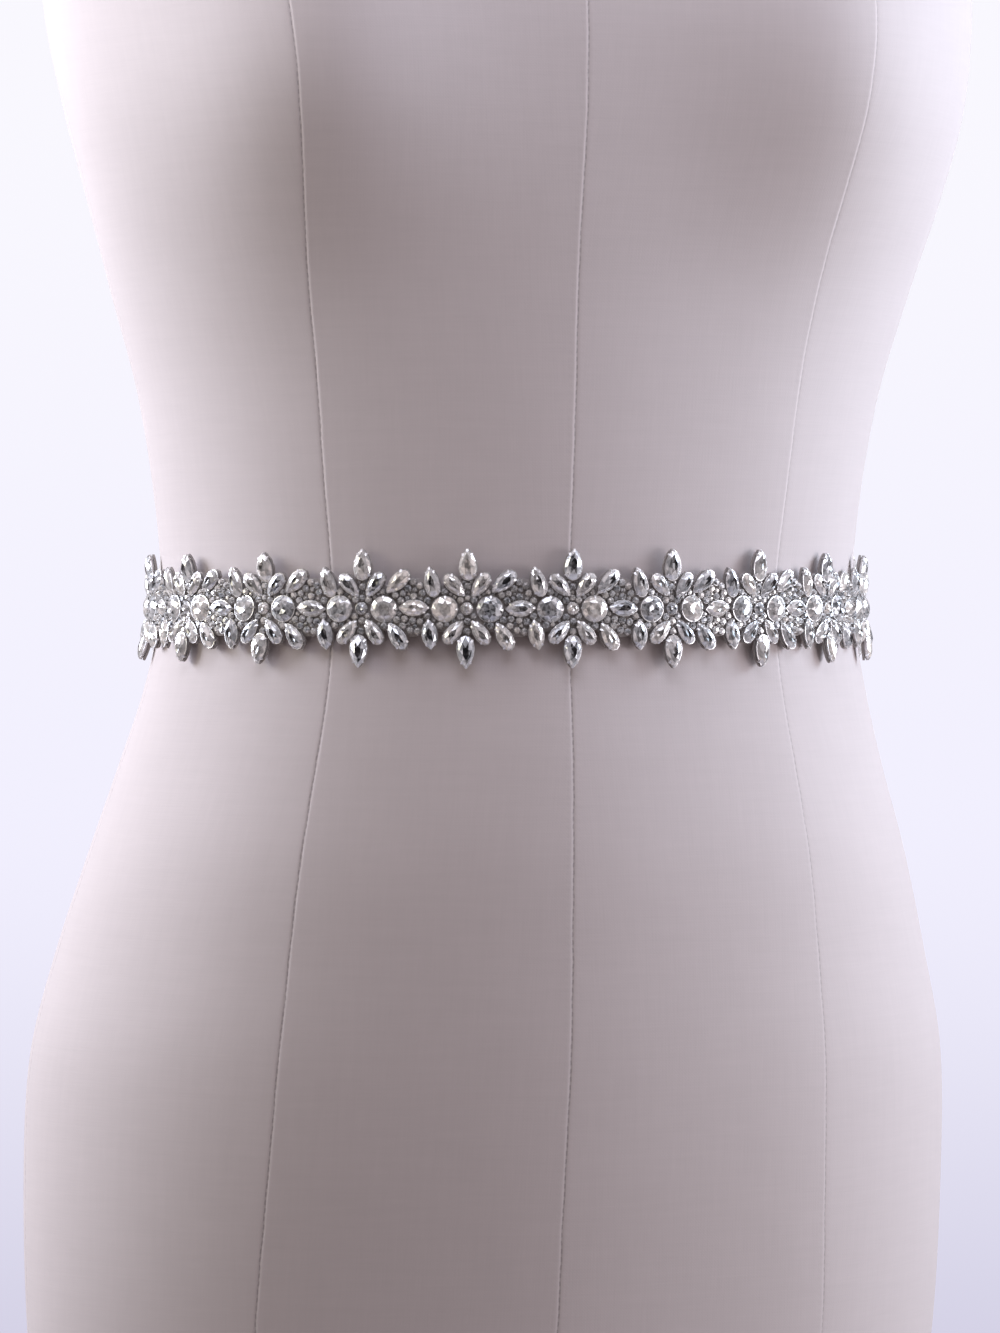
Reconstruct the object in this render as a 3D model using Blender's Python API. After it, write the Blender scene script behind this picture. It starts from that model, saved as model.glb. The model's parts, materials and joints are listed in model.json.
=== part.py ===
"""Crystal bridal sash worn round the waist of a limbless dress form.

The form is a loft through level rings. Everything on it is placed with on_form(),
which takes a distance round the waist, a height and a distance out from the form's skin,
so the ribbon, the flowers, the knot and the tails all lie on the same surface.
Metres, +Z up. The form faces -Y and its flat base stands on z = 0.
"""
import math
from collections import namedtuple

import bmesh
import bpy
from mathutils import Vector
from mathutils.geometry import delaunay_2d_cdt

# Driving sizes
WAIST_HEIGHT = 0.330
FORM_COLUMNS = 48
SEAM_GAP = 0.0003
RIBBON_WIDTH = 0.016
RIBBON_THICKNESS = 0.001
RIBBON_END_GAP = 0.004
FLOWER_COUNT = 13
FLOWER_PITCH = 0.036
BACKING_GAP = 0.0005
BACKING_THICKNESS = 0.0010
GIRDLE_RISE = 0.0013
CROWN_RISE = 0.0028
BEAD_RISE = 0.0022
BAND_TOP = 0.0085
BAND_BOTTOM = -0.0100
BAND_END_TRIM = 0.0045
STEM_WIDTH = 0.0036
STEM_REACH = 0.0125
NOTCH_GROWTH = 2.6 * SEAM_GAP
BACK_GRID = 0.005
TAIL_ROOT_GAP = 0.0006

# Distances out from the form's skin
RIBBON_INNER = SEAM_GAP
RIBBON_OUTER = RIBBON_INNER + RIBBON_THICKNESS
BACKING_INNER = RIBBON_OUTER + BACKING_GAP
BACKING_OUTER = BACKING_INNER + BACKING_THICKNESS
KNOT_INNER = RIBBON_OUTER + SEAM_GAP

# Level rings of the form. front and back are how far its skin lies from the upright axis
# on the centre front and centre back lines, and side is the y of the side line.
Level = namedtuple("Level", "height half_width front back side")
FORM_LEVELS = (
    Level(0.000, 0.1600, 0.060, 0.140, 0.040),
    Level(0.030, 0.1650, 0.065, 0.148, 0.040),
    Level(0.070, 0.1695, 0.074, 0.154, 0.038),
    Level(0.130, 0.1710, 0.088, 0.156, 0.035),
    Level(0.170, 0.1690, 0.095, 0.152, 0.031),
    Level(0.206, 0.1608, 0.099, 0.143, 0.025),
    Level(0.242, 0.1505, 0.101, 0.129, 0.015),
    Level(0.275, 0.1400, 0.099, 0.114, 0.009),
    Level(0.302, 0.1322, 0.096, 0.102, 0.002),
    Level(0.330, 0.1270, 0.095, 0.095, 0.000),
    Level(0.360, 0.1282, 0.098, 0.096, -0.001),
    Level(0.405, 0.1353, 0.103, 0.102, -0.003),
    Level(0.441, 0.1453, 0.108, 0.108, -0.006),
    Level(0.478, 0.1560, 0.115, 0.112, -0.012),
    Level(0.508, 0.1640, 0.119, 0.114, -0.013),
    Level(0.540, 0.1695, 0.120, 0.113, -0.006),
    Level(0.580, 0.1720, 0.113, 0.110, 0.001),
    Level(0.620, 0.1745, 0.101, 0.108, 0.006),
    Level(0.655, 0.1785, 0.088, 0.105, 0.010),
    Level(0.680, 0.1790, 0.076, 0.100, 0.013),
    Level(0.698, 0.1620, 0.066, 0.094, 0.014),
    Level(0.714, 0.1280, 0.058, 0.086, 0.014),
    Level(0.729, 0.0920, 0.052, 0.078, 0.013),
    Level(0.745, 0.0660, 0.049, 0.069, 0.010),
    Level(0.770, 0.0570, 0.049, 0.061, 0.006),
    Level(0.800, 0.0550, 0.050, 0.058, 0.004),
    Level(0.808, 0.0520, 0.047, 0.055, 0.004),
)
WAIST_RINGS = tuple(WAIST_HEIGHT + step * 0.008 for step in range(-4, 5))
LOWER_RINGS = (0.000, 0.030, 0.065, 0.100, 0.135, 0.170, 0.200, 0.230, 0.256, 0.280)
UPPER_RINGS = (0.385, 0.415, 0.440, 0.465, 0.488, 0.510, 0.532, 0.556, 0.585, 0.620, 0.655,
               0.680, 0.698, 0.714, 0.729, 0.745, 0.770, 0.800, 0.808)

# Bust cups, soft mounds pushed forward out of the form's front
CUP_OFFSET = 0.107
CUP_HEIGHT = 0.518
CUP_DEPTH = 0.028
CUP_SPREAD = 0.040

# Fineness of the table that turns a distance round the waist into an angle
WAIST_STEPS = 720

# Stones of one flower. across and up are the centre's place from the flower's centre,
# length and width the stone's size, and lean turns its long axis from upright towards the wearer's left.
Stone = namedtuple("Stone", "shape across up length width lean")
FLOWER_STONES = (
    Stone("round", -0.0077, -0.0002, 0.0090, 0.0090, 0),
    Stone("round", 0.0077, -0.0002, 0.0090, 0.0090, 0),
    Stone("bead", 0.0000, -0.0001, 0.0042, 0.0042, 0),
    Stone("pear", 0.0000, 0.0154, 0.0108, 0.0062, 0),
    Stone("pear", 0.0000, -0.0153, 0.0112, 0.0062, 180),
    Stone("pear", -0.0044, 0.0082, 0.0098, 0.0050, 140),
    Stone("pear", 0.0044, 0.0083, 0.0098, 0.0050, -142),
    Stone("pear", -0.0044, -0.0084, 0.0098, 0.0050, 40),
    Stone("pear", 0.0046, -0.0084, 0.0098, 0.0050, -34),
    Stone("pear", -0.0121, 0.0093, 0.0104, 0.0054, -13),
    Stone("pear", 0.0122, 0.0094, 0.0104, 0.0054, -131),
    Stone("marquise", -0.0123, -0.0093, 0.0104, 0.0054, -8),
    Stone("pear", 0.0126, -0.0100, 0.0104, 0.0054, -33),
)
SPACER_STONE = Stone("marquise", FLOWER_PITCH / 2, 0.0000, 0.0104, 0.0056, 90)

# Outline of each stone shape, as fractions of half its width and half its length
STONE_OUTLINES = {
    "round": tuple((math.sin(math.tau * step / 8), math.cos(math.tau * step / 8)) for step in range(8)),
    "bead": tuple((math.sin(math.tau * step / 6), math.cos(math.tau * step / 6)) for step in range(6)),
    "marquise": ((0.0, 1.0), (0.86, 0.46), (0.86, -0.46), (0.0, -1.0), (-0.86, -0.46), (-0.86, 0.46)),
    "pear": ((0.0, 1.0), (0.66, 0.36), (1.0, -0.30), (0.50, -0.90),
             (-0.50, -0.90), (-1.0, -0.30), (-0.66, 0.36)),
}

# Rings of a stone from its foot to its crown: the ring's scale and its rise above the backing
StoneRing = namedtuple("StoneRing", "scale rise")
CUT_STONE = (StoneRing(1.0, 0.0), StoneRing(0.90, GIRDLE_RISE), StoneRing(0.52, CROWN_RISE))
STONE_RINGS = {
    "round": CUT_STONE,
    "pear": CUT_STONE,
    "marquise": CUT_STONE,
    "bead": (StoneRing(1.0, 0.0), StoneRing(0.55, BEAD_RISE)),
}

# A hanging tail: how far it has dropped below the ribbon, its centre line and its width
TailRow = namedtuple("TailRow", "drop across width")
TAIL_ROWS = (
    TailRow(0.000, 0.0052, 0.0080),
    TailRow(0.012, 0.0068, 0.0115),
    TailRow(0.028, 0.0090, 0.0150),
    TailRow(0.060, 0.0120, 0.0160),
    TailRow(0.220, 0.0240, 0.0160),
)
TAIL_LENGTHS = {"tail_left": 0.200, "tail_right": 0.214}
TAIL_END_SLANT = 0.012

# Rings of the knot: distance out from its seat, and the size of the ring as a share of its outline
KnotRing = namedtuple("KnotRing", "rise share")
KNOT_WIDTH = 0.019
KNOT_HEIGHT = 0.023
KNOT_SIDES = 16
KNOT_RINGS = (
    KnotRing(0.0000, 0.94),
    KnotRing(0.0016, 1.00),
    KnotRing(0.0036, 0.90),
    KnotRing(0.0050, 0.62),
)
KNOT_CROWN_RISE = 0.0056

MATERIALS = {
    "form_cover": ((0.56, 0.50, 0.50), 0.85, 0.0),
    "satin_ribbon": ((0.86, 0.84, 0.84), 0.40, 0.0),
    "crystal": ((0.82, 0.82, 0.84), 0.12, 0.9),
}


def form_level(height):
    """Return the form's level at a height, on smooth curves through the level table."""
    rows = FORM_LEVELS
    height = min(max(height, rows[0].height), rows[-1].height)
    index = max(i for i in range(len(rows) - 1) if rows[i].height <= height)
    low, high = rows[index], rows[index + 1]
    before, after = rows[max(index - 1, 0)], rows[min(index + 2, len(rows) - 1)]
    span = high.height - low.height
    part = (height - low.height) / span
    values = []
    for column in range(1, len(Level._fields)):
        slope_low = (high[column] - before[column]) / (high.height - before.height) * span
        slope_high = (after[column] - low[column]) / (after.height - low.height) * span
        square, cube = part ** 2, part ** 3
        values.append((2 * cube - 3 * square + 1) * low[column] + (cube - 2 * square + part) * slope_low
                      + (3 * square - 2 * cube) * high[column] + (cube - square) * slope_high)
    return Level(height, *values)


def skin_point(turn, height):
    """Return the point of the form's skin at an angle from the centre front and a height."""
    level = form_level(height)
    x = level.half_width * math.sin(turn)
    facing = math.cos(turn)
    depth = level.front + level.side if facing > 0 else level.back - level.side
    y = level.side - depth * facing
    if facing > 0:
        for cup_x in (-CUP_OFFSET, CUP_OFFSET):
            distance = math.hypot(x - cup_x, height - CUP_HEIGHT) / CUP_SPREAD
            y -= CUP_DEPTH * facing ** 0.5 * math.exp(-distance ** 2 / 2)
    return Vector((x, y, height))


def skin_normal(turn, height):
    """Return the outward direction of the form's skin."""
    step = 0.0005
    around = skin_point(turn + step, height) - skin_point(turn - step, height)
    upward = skin_point(turn, height + step) - skin_point(turn, height - step)
    return around.cross(upward).normalized()


def waist_turns():
    """Return pairs of a distance round the waist and its angle, from the centre front to the back."""
    pairs = [(0.0, 0.0)]
    last = skin_point(0.0, WAIST_HEIGHT)
    for step in range(1, WAIST_STEPS + 1):
        turn = math.pi * step / WAIST_STEPS
        point = skin_point(turn, WAIST_HEIGHT)
        pairs.append((pairs[-1][0] + (point - last).length, turn))
        last = point
    return pairs


WAIST_TURNS = waist_turns()
HALF_WAIST = WAIST_TURNS[-1][0]


def turn_at(distance):
    """Return the angle that lies a signed distance round the waist from the centre front."""
    reach = min(abs(distance), HALF_WAIST)
    share = reach / HALF_WAIST
    index = min(int(share * (len(WAIST_TURNS) - 1)), len(WAIST_TURNS) - 2)
    while WAIST_TURNS[index][0] > reach:
        index -= 1
    while WAIST_TURNS[index + 1][0] < reach:
        index += 1
    (low, low_turn), (high, high_turn) = WAIST_TURNS[index], WAIST_TURNS[index + 1]
    turn = low_turn + (high_turn - low_turn) * (reach - low) / (high - low)
    return math.copysign(turn, distance)


def on_form(distance, up, out):
    """Place a point by its distance round the waist, its height above it and its distance out."""
    turn = turn_at(distance)
    height = WAIST_HEIGHT + up
    return skin_point(turn, height) + skin_normal(turn, height) * out


def add_material(name):
    """Make a material from its row in MATERIALS."""
    colour, roughness, metallic = MATERIALS[name]
    material = bpy.data.materials.new(name)
    material.use_nodes = True
    shader = material.node_tree.nodes["Principled BSDF"]
    shader.inputs["Base Color"].default_value = (*colour, 1.0)
    shader.inputs["Roughness"].default_value = roughness
    shader.inputs["Metallic"].default_value = metallic
    return material


def add_object(name, mesh, material, smooth):
    """Add a mesh to the scene as a named object, without unused points and with its faces out."""
    work = bmesh.new()
    work.from_mesh(mesh)
    bmesh.ops.delete(work, geom=[vert for vert in work.verts if not vert.link_faces], context="VERTS")
    bmesh.ops.recalc_face_normals(work, faces=work.faces)
    work.to_mesh(mesh)
    work.free()
    mesh.materials.append(material)
    if smooth:
        mesh.shade_smooth()
    obj = bpy.data.objects.new(name, mesh)
    bpy.context.collection.objects.link(obj)
    return obj


def mesh_of(name, points, faces):
    """Make a mesh from points and faces."""
    mesh = bpy.data.meshes.new(name)
    mesh.from_pydata([tuple(point) for point in points], [], faces)
    return mesh


def ring_faces(ring_count, columns):
    """Return the quads between closed rings of points that follow one another."""
    faces = []
    for ring in range(ring_count - 1):
        for column in range(columns):
            beside = (column + 1) % columns
            faces.append((ring * columns + column, ring * columns + beside,
                          (ring + 1) * columns + beside, (ring + 1) * columns + column))
    return faces


def strip_wall(name, rows_inner, rows_outer):
    """Make a closed wall from matching grids of inner and outer points."""
    rows, columns = len(rows_inner), len(rows_inner[0])
    points = [point for row in rows_inner for point in row]
    points += [point for row in rows_outer for point in row]
    outer = rows * columns
    faces = []
    for row in range(rows - 1):
        for column in range(columns - 1):
            a = row * columns + column
            quad = (a, a + 1, a + columns + 1, a + columns)
            faces.append(quad)
            faces.append(tuple(outer + corner for corner in reversed(quad)))
    for row in range(rows - 1):
        for column in (0, columns - 1):
            a, b = row * columns + column, (row + 1) * columns + column
            faces.append((a, b, outer + b, outer + a))
    for column in range(columns - 1):
        for row in (0, rows - 1):
            a = row * columns + column
            faces.append((a, a + 1, outer + a + 1, outer + a))
    return mesh_of(name, points, faces)


def build_dress_form(material):
    """Loft the form through its rings and close it with a flat base and a flat neck."""
    heights = LOWER_RINGS + WAIST_RINGS + UPPER_RINGS
    points = []
    for height in heights:
        points += [skin_point(math.tau * column / FORM_COLUMNS, height) for column in range(FORM_COLUMNS)]
    faces = ring_faces(len(heights), FORM_COLUMNS)
    last_ring = (len(heights) - 1) * FORM_COLUMNS
    faces.append(tuple(range(FORM_COLUMNS)))
    faces.append(tuple(range(last_ring, last_ring + FORM_COLUMNS)))
    add_object("dress_form", mesh_of("dress_form", points, faces), material, smooth=True)


def build_ribbon(material):
    """Wrap the ribbon round the waist on the form's own columns, its two ends meeting at the back."""
    columns = [math.tau * column / FORM_COLUMNS - math.pi for column in range(FORM_COLUMNS + 1)]
    end_turn = math.pi - turn_at(HALF_WAIST - RIBBON_END_GAP / 2)
    columns[0] += end_turn
    columns[-1] -= end_turn
    heights = [WAIST_HEIGHT + share * RIBBON_WIDTH / 2 for share in (-1, 0, 1)]

    def row(height, out):
        return [skin_point(turn, height) + skin_normal(turn, height) * out for turn in columns]

    inner = [row(height, RIBBON_INNER) for height in heights]
    outer = [row(height, RIBBON_OUTER) for height in heights]
    add_object("ribbon", strip_wall("ribbon", inner, outer), material, smooth=True)


def stone_ring(stone, scale):
    """Return the flat outline of a stone, scaled about its centre."""
    lean = math.radians(stone.lean)
    ring = []
    for side, along in STONE_OUTLINES[stone.shape]:
        x = side * stone.width / 2 * scale
        y = along * stone.length / 2 * scale
        ring.append((stone.across + x * math.cos(lean) + y * math.sin(lean),
                     stone.up - x * math.sin(lean) + y * math.cos(lean)))
    return ring


def notch_ring():
    """Return the outline that a flower leaves free round its neighbour's spacer stone."""
    spacer = SPACER_STONE._replace(across=-FLOWER_PITCH / 2, length=SPACER_STONE.length + NOTCH_GROWTH,
                                   width=SPACER_STONE.width + NOTCH_GROWTH)
    return stone_ring(spacer, 1.0)


def band_ring(left, right):
    """Return the outline of the backing's band, with the two stems that reach the upright stones."""
    stem = STEM_WIDTH / 2
    return [(left, BAND_BOTTOM), (-stem, BAND_BOTTOM), (-stem, -STEM_REACH), (stem, -STEM_REACH),
            (stem, BAND_BOTTOM), (right, BAND_BOTTOM), (right, BAND_TOP), (stem, BAND_TOP),
            (stem, STEM_REACH), (-stem, STEM_REACH), (-stem, BAND_TOP), (left, BAND_TOP)]


def stone_rise(stone, point):
    """Return how far a stone rises above the backing at a flat point."""
    foot = stone_ring(stone, 1.0)
    x, y = point[0] - stone.across, point[1] - stone.up
    scale = 0.0
    for (x1, y1), (x2, y2) in zip(foot, foot[1:] + foot[:1]):
        x1, y1, x2, y2 = x1 - stone.across, y1 - stone.up, x2 - stone.across, y2 - stone.up
        reach = x1 * y2 - x2 * y1
        scale = max(scale, (x * (y2 - y1) - y * (x2 - x1)) / reach)
    rings = STONE_RINGS[stone.shape]
    if scale <= rings[-1].scale:
        return rings[-1].rise
    for outer, inner in zip(rings, rings[1:]):
        if inner.scale < scale <= outer.scale:
            part = (outer.scale - scale) / (outer.scale - inner.scale)
            return outer.rise + (inner.rise - outer.rise) * part
    return 0.0


def inside(point, ring):
    """Tell whether a flat point lies inside a closed ring."""
    x, y = point
    crossed = False
    for (x1, y1), (x2, y2) in zip(ring, ring[1:] + ring[:1]):
        if (y1 > y) != (y2 > y) and x < (x2 - x1) * (y - y1) / (y2 - y1) + x1:
            crossed = not crossed
    return crossed


def flat_triangles(rings, extra_points, keep):
    """Triangulate the plane through closed rings and keep the triangles whose middles pass a test."""
    points, edges = [], []
    for ring in rings:
        first = len(points)
        points += [Vector(point) for point in ring]
        edges += [(first + i, first + (i + 1) % len(ring)) for i in range(len(ring))]
    points += [Vector(point) for point in extra_points]
    flat, _, triangles, *_ = delaunay_2d_cdt(points, edges, [], 0, 1e-6)
    kept = []
    for corners in triangles:
        middle = sum((flat[corner] for corner in corners), Vector((0.0, 0.0))) / len(corners)
        if keep(middle):
            kept.append(tuple(corners))
    return flat, kept


def rim_loop(triangles):
    """Return the corners round the rim of a flat sheet of triangles, in order."""
    directed = {(face[i], face[(i + 1) % len(face)]) for face in triangles for i in range(len(face))}
    following = dict(edge for edge in sorted(directed) if (edge[1], edge[0]) not in directed)
    loop = [min(following)]
    while following[loop[-1]] != loop[0]:
        loop.append(following[loop[-1]])
    return loop


def build_flower(number, material):
    """Raise one flower's stones out of a thin backing that is plain inside."""
    name = f"flower_{number:02d}"
    centre = (number - (FLOWER_COUNT + 1) / 2) * FLOWER_PITCH
    is_first, is_last = number == 1, number == FLOWER_COUNT
    stones = FLOWER_STONES + (() if is_last else (SPACER_STONE,))
    half = FLOWER_PITCH / 2 - SEAM_GAP / 2
    left = -half + (BAND_END_TRIM if is_first else 0.0)
    right = half - (BAND_END_TRIM if is_last else 0.0)
    band = band_ring(left, right)
    notches = [] if is_first else [notch_ring()]
    feet = [stone_ring(stone, 1.0) for stone in stones]
    upper = [stone_ring(stone, ring.scale) for stone in stones for ring in STONE_RINGS[stone.shape][1:]]

    def is_flower(point):
        if any(inside(point, ring) for ring in notches):
            return False
        return inside(point, band) or any(inside(point, ring) for ring in feet)

    flat, front = flat_triangles([band] + notches + feet + upper, [], is_flower)
    levels = [BACKING_OUTER + max(stone_rise(stone, point) for stone in stones) for point in flat]
    loop = rim_loop(front)
    outline = [tuple(flat[index]) for index in loop]
    grid = [(column * FLOWER_PITCH / 4, row * BACK_GRID) for column in (-1, 0, 1) for row in (-1, 0, 1)]
    back_flat, back = flat_triangles([outline], grid, lambda point: inside(point, outline))

    points = [on_form(centre + point[0], point[1], level) for point, level in zip(flat, levels)]
    first_back = len(points)
    points += [on_form(centre + point[0], point[1], BACKING_INNER) for point in back_flat]
    faces = list(front)
    faces += [tuple(first_back + corner for corner in reversed(face)) for face in back]
    for i, index in enumerate(loop):
        beside = (i + 1) % len(loop)
        faces.append((loop[beside], index, first_back + i, first_back + beside))
    add_object(name, mesh_of(name, points, faces), material, smooth=False)


def back_point(x, height, out):
    """Return a point out from the form's back, by its x and height."""
    level = form_level(height)
    turn = math.pi - math.asin(x / level.half_width)
    return skin_point(turn, height) + skin_normal(turn, height) * out


def tail_row(drop):
    """Return the tail's centre line and width at a drop below the ribbon."""
    for low, high in zip(TAIL_ROWS, TAIL_ROWS[1:]):
        if drop <= high.drop:
            part = (drop - low.drop) / (high.drop - low.drop)
            return TailRow(drop, *(low[i] + (high[i] - low[i]) * part for i in (1, 2)))
    return TAIL_ROWS[-1]


def build_tail(name, side, material):
    """Hang one ribbon end down the form's back from the knot, with a row on each of the form's rings."""
    root = WAIST_HEIGHT - RIBBON_WIDTH / 2 - TAIL_ROOT_GAP
    end = root - TAIL_LENGTHS[name]
    lowest, highest = end + TAIL_END_SLANT, root - RIBBON_THICKNESS
    rings = [ring for ring in LOWER_RINGS + WAIST_RINGS if lowest < ring < highest]
    heights = [root] + rings[::-1] + [end]
    inner, outer = [], []
    for height in heights:
        row = tail_row(root - height)
        slant = TAIL_END_SLANT if height == end else 0.0
        places = [(side * (row.across + share * row.width / 2), height - slant * share / 2)
                  for share in (-1, 0, 1)]
        inner.append([back_point(x, z, RIBBON_INNER) for x, z in places])
        outer.append([back_point(x, z, RIBBON_OUTER) for x, z in places])
    add_object(name, strip_wall(name, inner, outer), material, smooth=True)


def build_knot(material):
    """Seat the rounded knot over the ribbon's ends and the roots of the tails."""
    points = []
    for ring in KNOT_RINGS:
        for side in range(KNOT_SIDES):
            angle = math.tau * side / KNOT_SIDES
            x = KNOT_WIDTH / 2 * ring.share * math.cos(angle)
            height = WAIST_HEIGHT + KNOT_HEIGHT / 2 * ring.share * math.sin(angle)
            points.append(back_point(x, height, KNOT_INNER + ring.rise))
    faces = ring_faces(len(KNOT_RINGS), KNOT_SIDES)
    seat_centre, crown = len(points), len(points) + 1
    points.append(back_point(0.0, WAIST_HEIGHT, KNOT_INNER))
    points.append(back_point(0.0, WAIST_HEIGHT, KNOT_INNER + KNOT_CROWN_RISE))
    last = (len(KNOT_RINGS) - 1) * KNOT_SIDES
    for side in range(KNOT_SIDES):
        beside = (side + 1) % KNOT_SIDES
        faces.append((beside, side, seat_centre))
        faces.append((last + side, last + beside, crown))
    add_object("knot", mesh_of("knot", points, faces), material, smooth=True)


def main():
    for obj in list(bpy.data.objects):
        bpy.data.objects.remove(obj, do_unlink=True)
    form_cover = add_material("form_cover")
    satin = add_material("satin_ribbon")
    crystal = add_material("crystal")
    build_dress_form(form_cover)
    build_ribbon(satin)
    for number in range(1, FLOWER_COUNT + 1):
        build_flower(number, crystal)
    build_tail("tail_left", 1, satin)
    build_tail("tail_right", -1, satin)
    build_knot(satin)


main()
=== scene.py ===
"""Crystal bridal sash on a limbless dress form: the finish of every piece.

The file is laid out as an add-on. Each operator makes one piece, or a group of like pieces, around
the fixed frame, and main() calls them in order. Everything that lies on the form is placed with
on_form(), which takes a distance round the waist, a height above it and a distance out from the
form's skin, so the pieces lie where the frame has them. Metres, +Z up, the form faces -Y.
"""
import json
import math
from collections import namedtuple
from functools import lru_cache

import bmesh
import bpy
import numpy as np
from bpy.props import FloatProperty, FloatVectorProperty, IntProperty, PointerProperty
from mathutils import Matrix, Vector

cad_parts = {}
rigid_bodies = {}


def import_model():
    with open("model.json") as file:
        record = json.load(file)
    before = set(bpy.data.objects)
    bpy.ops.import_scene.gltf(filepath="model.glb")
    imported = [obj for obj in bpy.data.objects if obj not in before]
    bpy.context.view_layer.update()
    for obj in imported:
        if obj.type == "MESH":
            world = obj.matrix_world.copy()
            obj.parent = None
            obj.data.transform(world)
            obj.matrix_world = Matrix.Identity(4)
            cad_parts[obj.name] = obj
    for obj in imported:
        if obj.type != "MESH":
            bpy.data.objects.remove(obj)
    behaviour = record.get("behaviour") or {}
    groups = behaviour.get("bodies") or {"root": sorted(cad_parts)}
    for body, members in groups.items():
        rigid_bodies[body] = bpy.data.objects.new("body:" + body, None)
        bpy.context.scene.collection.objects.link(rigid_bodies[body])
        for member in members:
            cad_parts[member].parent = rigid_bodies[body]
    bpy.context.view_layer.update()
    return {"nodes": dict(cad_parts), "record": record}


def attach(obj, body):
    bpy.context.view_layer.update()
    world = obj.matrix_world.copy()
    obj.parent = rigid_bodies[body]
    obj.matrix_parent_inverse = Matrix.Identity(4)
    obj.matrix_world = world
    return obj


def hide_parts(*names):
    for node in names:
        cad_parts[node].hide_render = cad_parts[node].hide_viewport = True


bl_info = {
    "name": "Bridal Sash",
    "version": (1, 0, 0),
    "blender": (4, 5, 0),
    "location": "3D View > Sidebar > Sash",
    "description": "Makes a crystal trimmed ribbon sash on a covered dress form",
    "category": "Add Mesh",
}

for leftover in list(bpy.data.objects):
    bpy.data.objects.remove(leftover, do_unlink=True)
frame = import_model()
BODY = "root"
SLOT_COLOURS = {row["slot"]: tuple(row["base_color"]) for row in frame["record"]["materials"]}
FLOWER_NODES = sorted(name for name in frame["nodes"] if name.startswith("flower_"))

MM = 0.001

# Sizes that the frame's pieces were made from
WAIST_HEIGHT = 0.330
RIBBON_WIDTH = 0.016
RIBBON_INNER = 0.0003
RIBBON_END_GAP = 0.004
FLOWER_PITCH = 0.036
BACKING_INNER = 0.0018
BACKING_OUTER = 0.0028
BAND_END_TRIM = 0.0045
KNOT_INNER = 0.0016
KNOT_WIDTH = 0.019
KNOT_HEIGHT = 0.023
TAIL_ROOT_GAP = 0.0006
TAIL_LENGTHS = {"tail_left": 0.200, "tail_right": 0.214}
TAIL_END_SLANT = 0.012

# Level rings of the form. front and back are how far its skin lies from the upright axis
# on the centre front and centre back lines, and side is the y of the side line.
Level = namedtuple("Level", "height half_width front back side")
FORM_LEVELS = (
    Level(0.000, 0.1600, 0.060, 0.140, 0.040),
    Level(0.030, 0.1650, 0.065, 0.148, 0.040),
    Level(0.070, 0.1695, 0.074, 0.154, 0.038),
    Level(0.130, 0.1710, 0.088, 0.156, 0.035),
    Level(0.170, 0.1690, 0.095, 0.152, 0.031),
    Level(0.206, 0.1608, 0.099, 0.143, 0.025),
    Level(0.242, 0.1505, 0.101, 0.129, 0.015),
    Level(0.275, 0.1400, 0.099, 0.114, 0.009),
    Level(0.302, 0.1322, 0.096, 0.102, 0.002),
    Level(0.330, 0.1270, 0.095, 0.095, 0.000),
    Level(0.360, 0.1282, 0.098, 0.096, -0.001),
    Level(0.405, 0.1353, 0.103, 0.102, -0.003),
    Level(0.441, 0.1453, 0.108, 0.108, -0.006),
    Level(0.478, 0.1560, 0.115, 0.112, -0.012),
    Level(0.508, 0.1640, 0.119, 0.114, -0.013),
    Level(0.540, 0.1695, 0.120, 0.113, -0.006),
    Level(0.580, 0.1720, 0.113, 0.110, 0.001),
    Level(0.620, 0.1745, 0.101, 0.108, 0.006),
    Level(0.655, 0.1785, 0.088, 0.105, 0.010),
    Level(0.680, 0.1790, 0.076, 0.100, 0.013),
    Level(0.698, 0.1620, 0.066, 0.094, 0.014),
    Level(0.714, 0.1280, 0.058, 0.086, 0.014),
    Level(0.729, 0.0920, 0.052, 0.078, 0.013),
    Level(0.745, 0.0660, 0.049, 0.069, 0.010),
    Level(0.770, 0.0570, 0.049, 0.061, 0.006),
    Level(0.800, 0.0550, 0.050, 0.058, 0.004),
    Level(0.808, 0.0520, 0.047, 0.055, 0.004),
)
FORM_HEIGHT = FORM_LEVELS[-1].height

# The bust: how far its cups are from the middle, how high they sit, how deep and how wide they are
CUP_OFFSET = 0.107
CUP_HEIGHT = 0.518
CUP_DEPTH = 0.028
CUP_SPREAD = 0.040

# How finely the waist is measured, and how far aside a place is taken to find the skin's direction
WAIST_STEPS = 720
NUDGE = 0.0005

# Stones of one flower. across and up are the centre's place from the flower's centre,
# length and width the stone's size, and lean turns its long axis from upright towards the wearer's left.
Stone = namedtuple("Stone", "shape across up length width lean")
FLOWER_STONES = (
    Stone("round", -0.0077, -0.0002, 0.0090, 0.0090, 0),
    Stone("round", 0.0077, -0.0002, 0.0090, 0.0090, 0),
    Stone("round", 0.0000, -0.0001, 0.0042, 0.0042, 0),
    Stone("drop", 0.0000, 0.0154, 0.0108, 0.0062, 0),
    Stone("drop", 0.0000, -0.0153, 0.0112, 0.0062, 180),
    Stone("pear", -0.0044, 0.0082, 0.0098, 0.0050, 140),
    Stone("pear", 0.0044, 0.0083, 0.0098, 0.0050, -142),
    Stone("pear", -0.0044, -0.0084, 0.0098, 0.0050, 40),
    Stone("pear", 0.0046, -0.0084, 0.0098, 0.0050, -34),
    Stone("drop", -0.0121, 0.0093, 0.0104, 0.0054, -13),
    Stone("pear", 0.0122, 0.0094, 0.0104, 0.0054, -131),
    Stone("marquise", -0.0123, -0.0093, 0.0104, 0.0054, -8),
    Stone("pear", 0.0126, -0.0100, 0.0104, 0.0054, -33),
)
SPACER_STONE = Stone("marquise", FLOWER_PITCH / 2, 0.0000, 0.0104, 0.0056, 90)

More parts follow.
